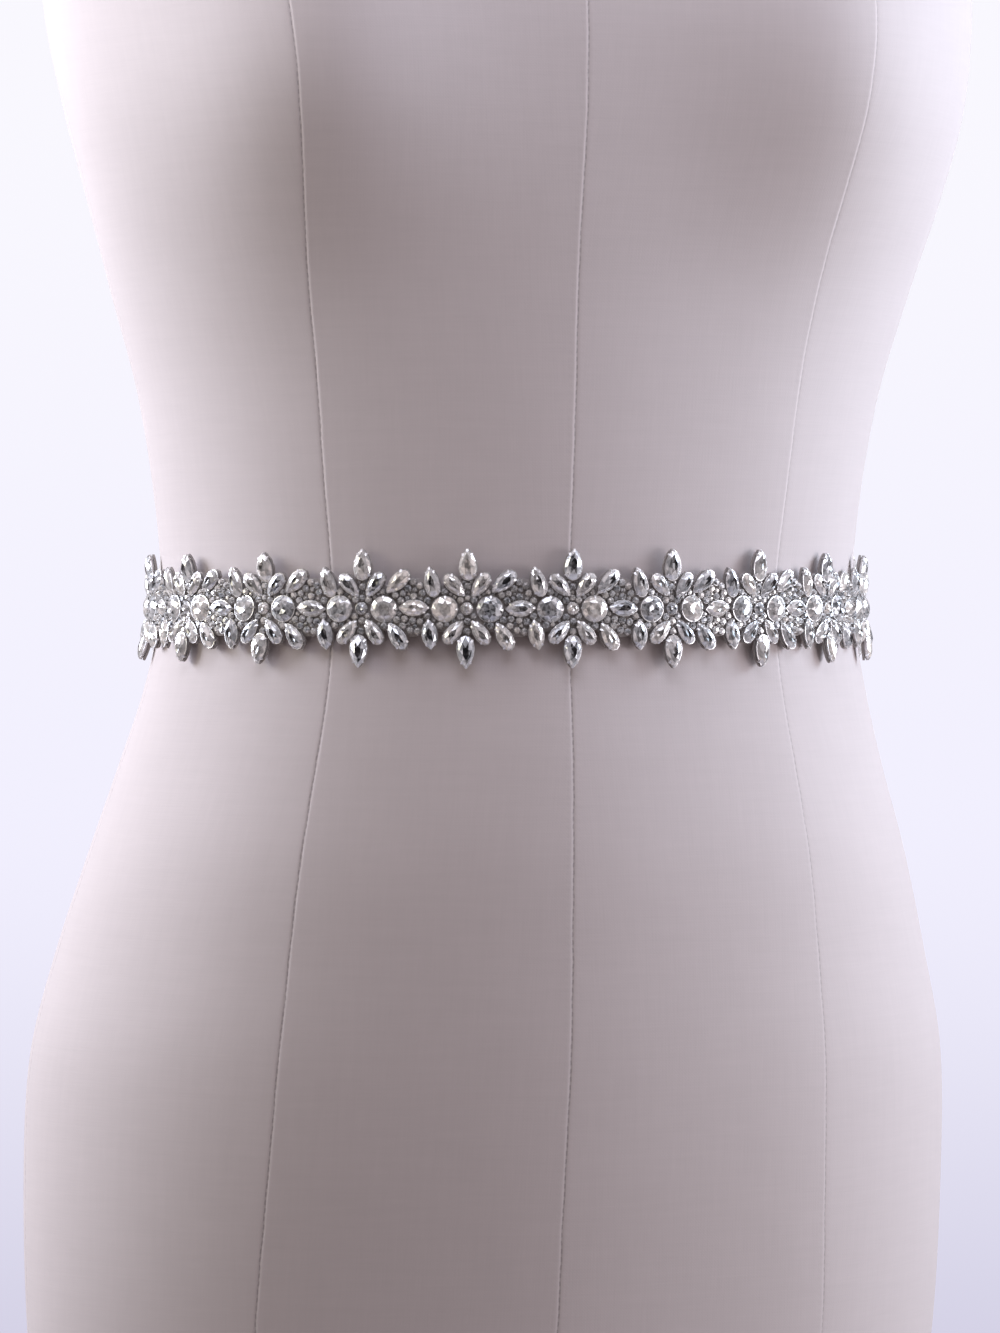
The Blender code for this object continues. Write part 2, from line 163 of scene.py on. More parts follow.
# The felt band: how far from its ends it is rounded, and how far it reaches below and above the waist,
# each with the part that comes and goes from one stone group to the next. Then how blunt its ends stay.
BAND_ROUNDING = 0.008
BAND_BELOW = 0.0090
BAND_BELOW_SWING = 0.0010
BAND_ABOVE = 0.0092
BAND_ABOVE_SWING = 0.0013
BAND_BLUNT = 0.02

# How a small stone or a large one is seated: its distance round the waist, its height above it,
# its lean, which of the shapes it has and its size as shares of that shape's
SeatRow = namedtuple("SeatRow", "distance up lean kind size")

# Towards the trim's ends its outermost stones are a little shorter and sit closer in
OUTERMOST_UP = 0.013
ENDS_START = 0.055
ENDS_FULL = 0.135
ENDS_SHORTER = 0.10
ENDS_CLOSER = 0.075

# Stone shapes as they are cut: nominal width and length, corners of the outline, the table's share of
# the stone and how far it is shifted along it, and the least and most light, as painted reflections,
# that is painted into the facets at the rim, on the slope and under the table
Cut = namedtuple("Cut", "width length corners table table_shift rim slope core")
CUTS = {
    "round": Cut(0.0090, 0.0090, 16, 0.46, 0.0, (0.50, 0.90), (0.36, 0.80), (0.36, 0.76)),
    "pear": Cut(0.0054, 0.0104, 14, 0.38, -0.16, (0.75, 1.0), (0.35, 0.95), (0.00, 0.22)),
    "drop": Cut(0.0054, 0.0104, 14, 0.38, 0.10, (0.75, 1.0), (0.35, 0.95), (0.00, 0.22)),
    "marquise": Cut(0.0054, 0.0104, 16, 0.40, 0.06, (0.70, 1.0), (0.35, 0.95), (0.00, 0.35)),
}
CUT_ORDER = tuple(CUTS)

# A large stone from its seat upwards, each level a share of its outline and a rise: its base, its girdle
# and the break of its crown. Then the table's rise, how far its middle dips, and how much flatter
# the narrowest stones are.
STONE_BASE = (0.80, 0.0004)
STONE_GIRDLE = (0.985, 0.0013)
STONE_CROWN = (0.72, 0.0023)
TABLE_RISE = 0.0028
TABLE_DIP = 0.00034
NARROW_STONE = 0.0045
NARROW_RISE = 0.85

# The light painted into a large stone's base and girdle as painted reflections, and how its other
# facets' painted light is spread: the step from each to the next, and where it starts
BASE_LIGHT = 0.3
GIRDLE_LIGHT = 0.6
FACET_STEP = 0.618
FACET_START = 0.37

# The settings, the pads under them and the small stones with their cups, by the same shares and rises.
# Then the light painted into a small stone's facets and into its table, as painted reflections.
SETTING_LEVELS = ((0.88, 0.0), (0.97, 0.0007), (1.045, 0.0010), (1.045, 0.00122), (0.98, 0.00128))
PAD_LEVELS = ((1.0, -0.0009), (1.0, -0.00008))
PAD_GROWN = 0.0002
SMALL_STONE_LEVELS = ((0.75, 0.0003), (0.92, 0.0008), (0.52, 0.00145))
SMALL_CUP_LEVELS = ((0.92, 0.0), (1.03, 0.0007))
SMALL_CORNERS = 8
SMALL_LIGHT = (0.38, 1.0)
SMALL_TABLE_LIGHT = 0.52

# Where a setting's prongs stand, as shares of the way round its outline, how finely that is drawn, how far
# in they stand at the sides and at a point, and their size. Half their depth is their width, divided by
# the last number.
ROUND_PRONGS = (0.0, 0.25, 0.5, 0.75)
LONG_PRONGS = (0.125, 0.375, 0.625, 0.875)
PRONG_OUTLINE = 64
PRONG_INSET = 0.97
POINT_INSET = 0.96
PRONG_RISE = 0.0012
PRONG_WIDTH = 0.0007
PRONG_REACH = 0.0009
PRONG_FLATTENED = 2.6

# A small cup's prong: half its width, how far its foot and its tip are from the stone's middle,
# and how high they stand
SMALL_PRONG_HALF = 0.00022
SMALL_PRONG_FOOT = 0.00112
SMALL_PRONG_TIP = 0.00070
SMALL_PRONG_LOW = 0.0004
SMALL_PRONG_HIGH = 0.00135

# What brings a pear's outline to its full width, and how full a marquise is between its points
PEAR_WIDEST = 0.863
MARQUISE_FULLNESS = 2.3

# How finely the felt is searched for small stones, how far down and up, how much smaller each next try
# is, how finely the large stones' outlines are drawn for it, and how the small stones' own turn
# changes along it
SEARCH_STEP = 0.00025
SEARCH_UPS = (-0.011, 0.0115)
RADIUS_STEP = 0.00008
SEARCH_OUTLINE = 24
SMALL_TURN = 900.0

# The most that a stone's lean is multiplied by, either way, and the numbers that are added to the seed
# for the stones' tones and for the small stones
LEAN_MOST = (1.0, 1.0, 0.6)
TONE_SEED = 7
SMALL_SEED = 20

# The setting's edges that are sharper than this angle stay sharp
SHARP_ANGLE = math.radians(40)

# The tint of the bluer stones, over the record's colour, and the colour of the pinker ones. Then the
# colours of their darkest facets, in painted shadow, and the most painted light that a facet gives back.
COOL_GLASS = (1.00, 1.03, 1.06)
WARM_GLASS = (0.93, 0.88, 0.83)
COOL_SHADOW = (0.030, 0.030, 0.034)
WARM_SHADOW = (0.036, 0.032, 0.030)
BRIGHTEST = 0.98

# How much a stone's own tone and the painted glints inside it change its facets' painted light, and the
# glints' number a metre
TONE_SHARE = 0.9
GLINT_SHARE = 0.45
GLINTS = 1000.0

# How much a stone's roughness comes and goes, and how many such clouds there are in a metre
GLOSS_SWING = 0.06
GLOSS_CLOUDS = 900.0

# The plating where it is handled and where it is bright, how many handling marks there are in a metre,
# how rough it is at least and how much rougher where they are
PLATE_DULL = (0.72, 0.71, 0.71)
PLATE_BRIGHT = (0.90, 0.89, 0.89)
PLATE_MARKS = 700.0
PLATE_ROUGHNESS = 0.28
PLATE_ROUGHER = 0.18

# The cover's seams: the angle from the centre front, the height that each fades out at, how firmly it is
# drawn in, and the side, 1 or -1, that its allowance is pressed to
Seam = namedtuple("Seam", "degrees top firm pressed")
SEAMS = (
    Seam(-180, 1.0, 0.9, 1), Seam(-142, 0.700, 0.8, 1), Seam(-90, 1.0, 0.7, 1), Seam(-38, 0.700, 1.0, 1),
    Seam(0, 1.0, 0.9, -1), Seam(38, 0.700, 0.4, -1), Seam(90, 1.0, 0.7, -1), Seam(142, 0.700, 0.8, -1),
)
SEAM_OFFSETS = (0.00035, 0.0008, 0.0016, 0.0035)
PANEL_COLUMNS = 13
PANEL_POINTS = 1 + 2 * len(SEAM_OFFSETS) + PANEL_COLUMNS
ROW_POINTS = PANEL_POINTS * len(SEAMS)

# The seams between front and side swing outwards above the waist and inwards over the hips:
# the height that each swing is widest at, how far it spreads up and down, and its angle
Swing = namedtuple("Swing", "height spread degrees")
SEAM_SWINGS = (Swing(0.385, 0.065, 1.95), Swing(0.160, 0.070, -2.35))

# How far a seam wanders from its line and how much its depth comes and goes, each with the length
# that it repeats in. Then how softly a seam ends, and a distance that counts as away from every seam.
SEAM_WANDER = 0.25 * MM
WANDER_LENGTH = 0.11
PUCKER = 0.25
PUCKER_LENGTH = 0.019
SEAM_FADE = 0.012
FAR_FROM_SEAM = 0.01

# How high the fold beside a seam rises, as shares of the seam's depth: above the waist, and how much
# less over the hips
FOLD_RISE = 0.35
FOLD_RISE_LOST = 0.2

# The stitching: the distances from a seam between which it fades, its length, how much the seam's
# line wavers, the half widths of the gap and of the pressed fold's painted highlight, and how far that
# highlight lies from the gap
STITCHING = (0.0015, 0.0030)
STITCH_LENGTH = 0.0029
SEAM_WAVER = 0.0009
GAP_WIDTH = 0.00045
FOLD_HIGHLIGHT_WIDTH = 0.00055
FOLD_HIGHLIGHT_PLACE = 0.00060

# Over the hips the seams show as dark lines of painted shade, and above the waist their folds catch the
# light
# as painted highlights: the heights between which the one gives way to the other
HIPS = (WAIST_HEIGHT - 0.05, WAIST_HEIGHT + 0.03)

# The heights between which the panels turn from flat to round, and how far above and below the waist
# the ribbon holds them round
PANELS_ROUND = (0.60, 0.70)
RIBBON_PRESS = 0.020

# The cover's rows, closer together over the shoulders, and the rings that close its rounded base
# and neck, each at its height and with its share of the end row's size
ROW_STEP = 0.0038
SHOULDER_STEP = 0.0020
SHOULDERS = (0.655, 0.755)
RIM_REACH = 0.0015
BASE_RINGS = ((0.0004, 0.994), (0.0, 0.980), (0.0, 0.60), (0.0, 0.25))
NECK_RINGS = (
    (FORM_HEIGHT - 0.0004, 0.990),
    (FORM_HEIGHT, 0.960),
    (FORM_HEIGHT, 0.60),
    (FORM_HEIGHT, 0.25),
)

# The cover's threads, as marks a metre across and along its panels: fine and broad ones that run
# upwards and across, then the short and long wavers of a seam's line
FINE_UP = (1500.0, 70.0)
FINE_ACROSS = (60.0, 1400.0)
BROAD_UP = (330.0, 26.0)
BROAD_ACROSS = (30.0, 360.0)
SHORT_WAVER = (1.0, 420.0)
LONG_WAVER = (1.0, 75.0)
COVER_CLOUDS = 28.0

# The cover's shade, where 1 is its full colour, and how much the clouds, the fine threads, the broad ones
# that run upwards and across, and the painted shade of a seam's gap change it. Then its darkest tone as a
# share of its colour.
COVER_SHADE = 0.51
CLOUD_SHADE = 0.14
FINE_SHADE = 0.14
BROAD_UP_SHADE = 0.13
BROAD_ACROSS_SHADE = 0.17
GAP_PAINTED_SHADE = 1.1
COVER_DARKEST = 0.68

# A seam's gap, sunk into the relief and darkened with painted shade: how strong it is above the waist
# and how much more so over the hips, the share of its half width that is darkest, and how it comes and goes
# with the stitches. The waver of its line: the short waver's share, and the middle of both wavers.
GAP_STRENGTH = 0.75
GAP_AT_HIPS = 0.55
LINE_CORE = 0.2
STITCHED_GAP = (-0.6, 0.3, 0.30, 1.0)
SHORT_SHARE = 0.6
WAVER_MIDDLE = 0.8

# A seam's fold, painted as a highlight: how much it brightens the cloth, how much of that is lost over
# the hips, its colour against the cover's, and the brightest that this may be
FOLD_HIGHLIGHT = 0.55
FOLD_HIGHLIGHT_LOST = 0.75
FOLD_HIGHLIGHT_GAIN = 1.18
FOLD_HIGHLIGHT_MOST = 0.92

# The cover's roughness and how much rougher its threads are, the strength of its relief, and how high
# its threads, slubs and stitches stand and how deep its gaps are in it
COVER_ROUGHNESS = 0.78
COVER_ROUGHER = 0.14
COVER_RELIEF = 0.28
THREADS_RAISED = 0.08
SLUBS_RAISED = 0.5
STITCHES_RAISED = 0.25
GAP_SUNK = 1.2

# The satin's floats and ribs, as marks a metre across and along the ribbon, and its clouds
SATIN_FLOATS = (900.0, 60.0)
SATIN_RIBS = (120.0, 2600.0)
SATIN_CLOUDS = 90.0

# The satin's shade, and how much clouds and floats change it, its darkest tone as a share of its colour,
# its roughness and how much rougher its floats are, and the strength of its relief with each one's share
SATIN_SHADE = 0.45
SATIN_CLOUD_SHADE = 0.35
FLOAT_SHADE = 0.25
SATIN_DARKEST = 0.70
SATIN_ROUGHNESS = 0.26
SATIN_ROUGHER = 0.16
SATIN_RELIEF = 0.18
FLOATS_RAISED = 0.6
RIBS_RAISED = 0.4

# How deep the relief of a cloth's threads is
THREAD_RELIEF = 0.0002

# The felt's fibres, as marks a metre, its darkest tone, its roughness and how much rougher its fibres are,
# and the strength of its relief
FELT_FIBRES = 1600.0
FELT_DARKEST = 0.5
FELT_ROUGHNESS = 0.82
FELT_ROUGHER = 0.12
FELT_RELIEF = 0.5

# A hanging tail: how far it has dropped below the ribbon, its centre line and its width,
# and how far up and down these are smoothed
TailRow = namedtuple("TailRow", "drop across width")
TAIL_ROWS = (
    TailRow(0.000, 0.0052, 0.0080),
    TailRow(0.012, 0.0068, 0.0115),
    TailRow(0.028, 0.0090, 0.0150),
    TailRow(0.060, 0.0120, 0.0160),
    TailRow(0.220, 0.0240, 0.0160),
)
TAIL_SMOOTHING = 0.016

# The distances between the rows of the ribbon, a tail and the felt, and how far each lies clear of
# the inner face of the frame's node
RIBBON_STEP = 0.003
TAIL_STEP = 0.0022
FELT_STEP = 0.001
RIBBON_CLEAR = 0.00025
TAIL_CLEAR = 0.0002
FELT_CLEAR = 0.0001

# The ribbon: how thick its selvedge stands and where it starts and ends across, how far the ribbon
# drifts up and down and in what length, and its gathers towards the knot and its faint ripples,
# each with how fast it comes and goes across and along the ribbon
SELVEDGE = 0.00006
SELVEDGE_SHARES = (0.86, 0.97)
RIBBON_DRIFT = 0.0002
DRIFT_LENGTH = 0.13
RIBBON_GATHER = 0.00016
GATHER_REACH = 0.030
GATHER_ACROSS, GATHER_ALONG = 9.0, 60.0
RIBBON_RIPPLE = 0.00005
RIPPLE_ACROSS, RIPPLE_ALONG = 2.0, 210.0

# A tail: how far it starts up behind the knot, how much narrower it is pinched there and how far down
# that reaches, the drops between which its pleats open, its sway, the length that this repeats in and
# the drops between which it starts, how far its tip and its middle stand off and how far along, how deep
# its folds are, and how far from its tip the slanted end starts. Then where its middle is, the share of
# its lift that its middle line has and what its edges have more, and how fast its pleats and folds
# come and go across and down it.
TAIL_TUCK = 0.003
TAIL_PINCH = 0.26
PINCH_REACH = 0.011
PLEATS_OPEN = (0.004, 0.075)
TAIL_SWAY = 0.0008
SWAY_LENGTH = 0.12
SWAY_STARTS = (0.02, 0.08)
TIP_LIFT = 0.0016
TIP_REACH = 0.020
MIDDLE_LIFT = 0.0006
MIDDLE_REACH = 0.022
TAIL_TROUGHS = 0.0002
SLANT_REACH = 0.03
TAIL_MIDDLE = 0.55
LIFT_LEFT, LIFT_GAINED = 0.4, 0.6
PLEAT_ACROSS, PLEAT_SHIFT = 7.4, 0.9
TROUGH_ACROSS, TROUGH_DOWN = 2.6, 38.0

# The knot's rings and spokes, how far it lies clear of what carries it, and how far its dome,
# the turn round it, that turn's pleats and those of the end beneath stand out
KNOT_RINGS = 32
KNOT_SPOKES = 112
KNOT_CLEAR = 0.0004
KNOT_DOME = 0.0027
KNOT_TURN = 0.0017
KNOT_PLEATS = 0.0009
KNOT_UNDER = 0.0010

# Which way the turn round the knot slants, and where its edge lies, as shares of half the knot's size.
# How far that edge wavers, how fast and from what angle. Then the size of the knot's back, as a share
# of its front's, and how close its points are merged.
TURN_ACROSS, TURN_ALONG = 0.86, 0.50
TURN_EDGE = (0.47, 0.57)
EDGE_WAVER = 0.07
EDGE_WAVES, EDGE_ANGLE = 3.1, 0.6
KNOT_BACK = 0.9
KNOT_MERGED = 0.00001

# The knot's pleats: how fast they come and go across the turn and along the end beneath, and what bends
# them. Then how round its dome and its pleats are.
TURN_PLEATS, TURN_BEND, TURN_ANGLE = 6.6, 1.9, 0.5
UNDER_PLEATS, UNDER_SLANT, UNDER_BEND = 5.0, 1.3, 4.0
PLEAT_BEND = 0.7
DOME_POWER = 2.6
PLEAT_POWER = 0.7
FLAT_POWER = 0.5

# The knot's outline: its size away from the turn, how much the turn and its five corners add,
# and the cosine and sine of the slant that its cloth is laid at
KNOT_SHARE = 0.965
TURN_GROWN = 0.065
CORNER_GROWN = 0.015
KNOT_CORNERS = 5
SLANT_COSINE, SLANT_SINE = 0.6, 0.8

# The camera: how far it stands from the form's axis and how far to the wearer's right, and what
# it sees at that distance. The picture's height is its longer side.
IMAGE_WIDTH = 1000
IMAGE_HEIGHT = 1333
CAMERA_DISTANCE = 2.2
CAMERA_TURN = math.radians(13)
PIXELS_PER_METRE = 2762
AXIS_PIXEL = 508.5
WAIST_PIXEL = 608
SENSOR = 36

# Shares of the side light and of the fill light that the weaker side has, and the lamps' usual size
RIGHT_SIDE_SHARE = 0.75
LEFT_FILL_SHARE = 0.68
LAMP_SIZE = (0.55, 0.40)

# The room that lights the form: its colour, the size of its panels, how sharply they end, how dark
# and bright they are, and how little light comes from the camera's side
ROOM_COLOUR = (1.0, 0.878, 0.885)
ROOM_PANELS = 3.4
PANEL_EDGE = (0.44, 0.58)
PANEL_LEVELS = (0.25, 1.9)
CAMERA_SIDE = (0.70, 0.93)
CAMERA_SIDE_LEVEL = 0.16

# The backdrop from its foot to its top, with the rises that its colours blend between, then the floor,
# the share of it that doesn't fade and the corners of its outline
BACKDROP_LOW = (0.62, 0.60, 0.75)
BACKDROP_MIDDLE = (0.880, 0.863, 0.991)
BACKDROP_HIGH = (0.950, 0.938, 0.995)
LOW_BLEND = (-0.15, -0.03)
HIGH_BLEND = (-0.06, 0.10)
FLOOR_COLOUR = (0.40, 0.39, 0.45)
FLOOR_SOLID = 0.35
FLOOR_CORNERS = 96


class Pin:
    """A socket that gives a value, to be used in Python expressions."""

    def __init__(self, bench, socket):
        self.bench = bench
        self.socket = socket

    def math(self, operation, first, second):
        return self.bench.add("ShaderNodeMath", {"operation": operation}, {0: first, 1: second})

    def __add__(self, other):
        return self.math("ADD", self, other)

    def __radd__(self, other):
        return self.math("ADD", other, self)

    def __sub__(self, other):
        return self.math("SUBTRACT", self, other)

    def __rsub__(self, other):
        return self.math("SUBTRACT", other, self)

    def __mul__(self, other):
        return self.math("MULTIPLY", self, other)

    def __rmul__(self, other):
        return self.math("MULTIPLY", other, self)


class Bench:
    """A node tree and the one way that nodes are added to it."""

    def __init__(self, tree):
        self.tree = tree
        tree.nodes.clear()

    @staticmethod
    def pick(sockets, key):
        """Return the socket with an index, or the enabled one with a name or identifier."""
        if isinstance(key, int):
            return sockets[key]
        return next(socket for socket in sockets
                    if socket.enabled and key in (socket.name, socket.identifier))

    def add(self, kind, settings=None, values=None, output=0):
        """Add a node, set its settings, then set or link its sockets, and return one of its outputs."""
        node = self.tree.nodes.new(kind)
        for name, setting in (settings or {}).items():
            setattr(node, name, setting)
        for key, value in (values or {}).items():
            socket = self.pick(node.inputs, key)
            for part in value if isinstance(value, list) else [value]:
                if isinstance(part, Pin):
                    self.tree.links.new(part.socket, socket)
                else:
                    socket.default_value = part
        if not node.outputs:
            return None
        return Pin(self, self.pick(node.outputs, output))

    def attribute(self, name):
        return self.add("ShaderNodeAttribute", {"attribute_name": name}, output="Fac")

    def map(self, value, low, high, out_low=0.0, out_high=1.0):
        """Bring a value smoothly from one range to another."""
        return self.add("ShaderNodeMapRange", {"interpolation_type": "SMOOTHSTEP"},
                        {"Value": value, "From Min": low, "From Max": high,
                         "To Min": out_low, "To Max": out_high})

    def blend(self, share, first, second):
        """Mix two colours, each a link or three numbers."""
        first, second = (part if isinstance(part, Pin) else opaque(part) for part in (first, second))
        return self.add("ShaderNodeMix", {"data_type": "RGBA"},
                        {"Factor": share, "A": first, "B": second}, output="Result")

    def noise(self, vector, scale, detail=2.0, roughness=0.5):
        return self.add("ShaderNodeTexNoise", {}, {"Vector": vector, "Scale": scale, "Detail": detail,
                                                   "Roughness": roughness}, output="Fac")

    def streaks(self, place, across, along, detail=2.0):
        """Noise in a cloth's UV map, by its number of marks a metre across and along the cloth."""
        scaled = self.add("ShaderNodeMapping", {}, {"Vector": place, "Scale": (across, along, 1.0)})
        return self.noise(scaled, 1.0, detail=detail)


def opaque(colour):
    return (*colour, 1.0)


def darker(colour, share):
    return [share * part for part in colour]


def new_material(name, constants):
    """Make a material with a Principled shader whose constant sockets are set. Return its bench too."""
    material = bpy.data.materials.new(name)
    material.use_nodes = True
    bench = Bench(material.node_tree)
    shader = bench.add("ShaderNodeBsdfPrincipled", {}, constants, output="BSDF")
    bench.add("ShaderNodeOutputMaterial", {}, {"Surface": shader})
    return material, bench, shader.socket.node


def link(bench, pin, node, name):
    bench.tree.links.new(pin.socket, Bench.pick(node.inputs, name))


def add_relief(bench, shader, strength, height):
    """Let a height in the cloth's threads tilt its surface."""
    link(bench, bench.add("ShaderNodeBump", {}, {"Strength": strength, "Distance": THREAD_RELIEF,
                                                 "Height": height}), shader, "Normal")


@lru_cache(maxsize=None)
def form_level(height):
    """Return the form's level at a height, on smooth curves through the level table."""
    rows = FORM_LEVELS
    height = min(max(height, rows[0].height), rows[-1].height)
    index = max(i for i in range(len(rows) - 1) if rows[i].height <= height)
    low, high = rows[index], rows[index + 1]
    before, after = rows[max(index - 1, 0)], rows[min(index + 2, len(rows) - 1)]
    span = high.height - low.height
    part = (height - low.height) / span
    values = []
    for column in range(1, len(Level._fields)):
        slope_low = (high[column] - before[column]) / (high.height - before.height) * span
        slope_high = (after[column] - low[column]) / (after.height - low.height) * span
        square, cube = part ** 2, part ** 3
        values.append((2 * cube - 3 * square + 1) * low[column] + (cube - 2 * square + part) * slope_low
                      + (3 * square - 2 * cube) * high[column] + (cube - square) * slope_high)
    return Level(height, *values)


def skin_point(turn, height):
    """Return the point of the form's skin at an angle from the centre front and a height."""
    level = form_level(height)
    x = level.half_width * math.sin(turn)
    facing = math.cos(turn)
    depth = level.front + level.side if facing > 0 else level.back - level.side
    y = level.side - depth * facing
    if facing > 0:
        for cup_x in (-CUP_OFFSET, CUP_OFFSET):
            distance = math.hypot(x - cup_x, height - CUP_HEIGHT) / CUP_SPREAD
            y -= CUP_DEPTH * facing ** 0.5 * math.exp(-distance ** 2 / 2)
    return Vector((x, y, height))


def skin_normal(turn, height):
    """Return the outward direction of the form's skin."""
    around = skin_point(turn + NUDGE, height) - skin_point(turn - NUDGE, height)
    upward = skin_point(turn, height + NUDGE) - skin_point(turn, height - NUDGE)
    return around.cross(upward).normalized()


def waist_turns():
    """Return pairs of a distance round the waist and its angle, from the centre front to the back."""
    pairs = [(0.0, 0.0)]
    last = skin_point(0.0, WAIST_HEIGHT)
    for step in range(1, WAIST_STEPS + 1):
        turn = math.pi * step / WAIST_STEPS
        point = skin_point(turn, WAIST_HEIGHT)
        pairs.append((pairs[-1][0] + (point - last).length, turn))
        last = point
    return pairs


WAIST_DISTANCES, WAIST_ANGLES = zip(*waist_turns())
HALF_WAIST = WAIST_DISTANCES[-1]
RIBBON_LENGTH = 2 * HALF_WAIST - RIBBON_END_GAP
TRIM_HALF = len(FLOWER_NODES) * FLOWER_PITCH / 2 - BAND_END_TRIM
FLOWER_CENTRES = [(number - (len(FLOWER_NODES) - 1) / 2) * FLOWER_PITCH
                  for number in range(len(FLOWER_NODES))]


def turn_at(distance):
    """Return the angle that lies a signed distance round the waist from the centre front."""
    return math.copysign(float(np.interp(abs(distance), WAIST_DISTANCES, WAIST_ANGLES)), distance)


def on_form(distance, up, out):
    """Place a point by its distance round the waist, its height above it and its distance out."""
    turn = turn_at(distance)
    height = WAIST_HEIGHT + up
    return skin_point(turn, height) + skin_normal(turn, height) * out


def back_point(x, height, out):
    """Return a point out from the form's back, by its x and height."""
    turn = math.pi - math.asin(x / form_level(height).half_width)
    return skin_point(turn, height) + skin_normal(turn, height) * out


def smooth_step(value, low, high):
    share = min(max((value - low) / (high - low), 0.0), 1.0)
    return share * share * (3 - 2 * share)


def bump_at(value, centre, spread):
    """Return a soft bump of height one round a centre."""
    return math.exp(-((value - centre) / spread) ** 2)


def ring_faces(low, high, count):
    """Return the faces between two closed rings of points, by the number of each ring's first point."""
    faces = []
    for corner in range(count):
        beside = (corner + 1) % count
        faces.append((low + corner, low + beside, high + beside, high + corner))
    return faces


def grid_faces(rows, count):
    """Return the faces that join rows of points, each a closed ring, into a tube."""
    return [face for row in range(rows - 1) for face in ring_faces(row * count, (row + 1) * count, count)]


def made_mesh(name, points, faces, smooth, merged=0.0):
    """Make a closed mesh whose faces point outwards. Points closer than merged become one."""
    mesh = bpy.data.meshes.new(name)
    mesh.from_pydata([tuple(point) for point in points], [], faces)
    work = bmesh.new()
    work.from_mesh(mesh)
    if merged:
        bmesh.ops.remove_doubles(work, verts=work.verts, dist=merged)
    bmesh.ops.recalc_face_normals(work, faces=work.faces)
    work.to_mesh(mesh)
    work.free()
    if smooth:
        mesh.shade_smooth()
    else:
        mesh.shade_flat()
    return mesh


def add_piece(name, mesh, material, replaced):
    """Show a finished mesh as a piece of the object, in place of the frame's nodes that it stands for."""
    mesh.name = name
    mesh.materials.clear()
    mesh.materials.append(material)
    piece = bpy.data.objects.new(name, mesh)
    bpy.context.scene.collection.objects.link(piece)
    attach(piece, BODY)
    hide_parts(*replaced)
    return piece


def set_uv(mesh, place_of_corner):
    """Give the mesh a UV map in metres from a function of a loop's face and vertex."""
    layer = mesh.uv_layers.new(name="cloth")
    for face in mesh.polygons:
        for corner in face.loop_indices:
            layer.data[corner].uv = place_of_corner(face.index, mesh.loops[corner].vertex_index)


def set_attribute(mesh, name, kind, domain, values):
    """Store a value for each point or face of a mesh, three in a row where it is a vector."""
    layer = mesh.attributes.new(name, kind, domain)
    layer.data.foreach_set("vector" if kind == "FLOAT_VECTOR" else "value", values)


def swept_cloth(name, sections, along, across):
    """Join closed sections of points into one strip of cloth with closed ends and a UV map in metres."""
    count = len(sections[0])
    points = [point for section in sections for point in section]
    faces = grid_faces(len(sections), count)
    faces.append(tuple(range(count)))
    faces.append(tuple(range(len(points) - count, len(points))))
    mesh = made_mesh(name, points, faces, smooth=True)
    set_uv(mesh, lambda face, vertex: (across[vertex % count], along[vertex // count]))
    return mesh


def evenly(start, end, step):
    """Return places from start to end that lie no closer than a step."""
    count = int((end - start) / step)
    return [start + (end - start) * number / count for number in range(count + 1)]


def cloth_section(steps):
    """Return how a strip of cloth is cut through.

    Each corner is its place across, as a share of half the width, and 1 on the upper face or 0 on
    the lower one.
    """
    shares = [-1 + 2 * step / steps for step in range(steps + 1)]
    upper = [(share, 1.0) for share in shares]
    lower = [(share, 0.0) for share in reversed(shares)]
    return upper + [(1.006, 0.5)] + lower + [(-1.006, 0.5)]


def satin_material(colour):
    """Ivory satin: long floats over a fine weave, with a soft gloss."""
    material, bench, shader = new_material("satin", {
        "Sheen Weight": 0.25, "Sheen Roughness": 0.35, "Specular IOR Level": 0.6})
    place = bench.add("ShaderNodeUVMap", {"uv_map": "cloth"}, output="UV")
    floats = bench.streaks(place, *SATIN_FLOATS, detail=3.0)
    ribs = bench.streaks(place, *SATIN_RIBS)
    clouds = bench.noise(place, SATIN_CLOUDS)
    shade = SATIN_SHADE + SATIN_CLOUD_SHADE * clouds + FLOAT_SHADE * (floats - 0.5)
    link(bench, bench.blend(shade, darker(colour, SATIN_DARKEST), colour), shader, "Base Color")
    link(bench, SATIN_ROUGHNESS + SATIN_ROUGHER * floats, shader, "Roughness")
    add_relief(bench, shader, SATIN_RELIEF, FLOATS_RAISED * floats + RIBS_RAISED * ribs)
    return material


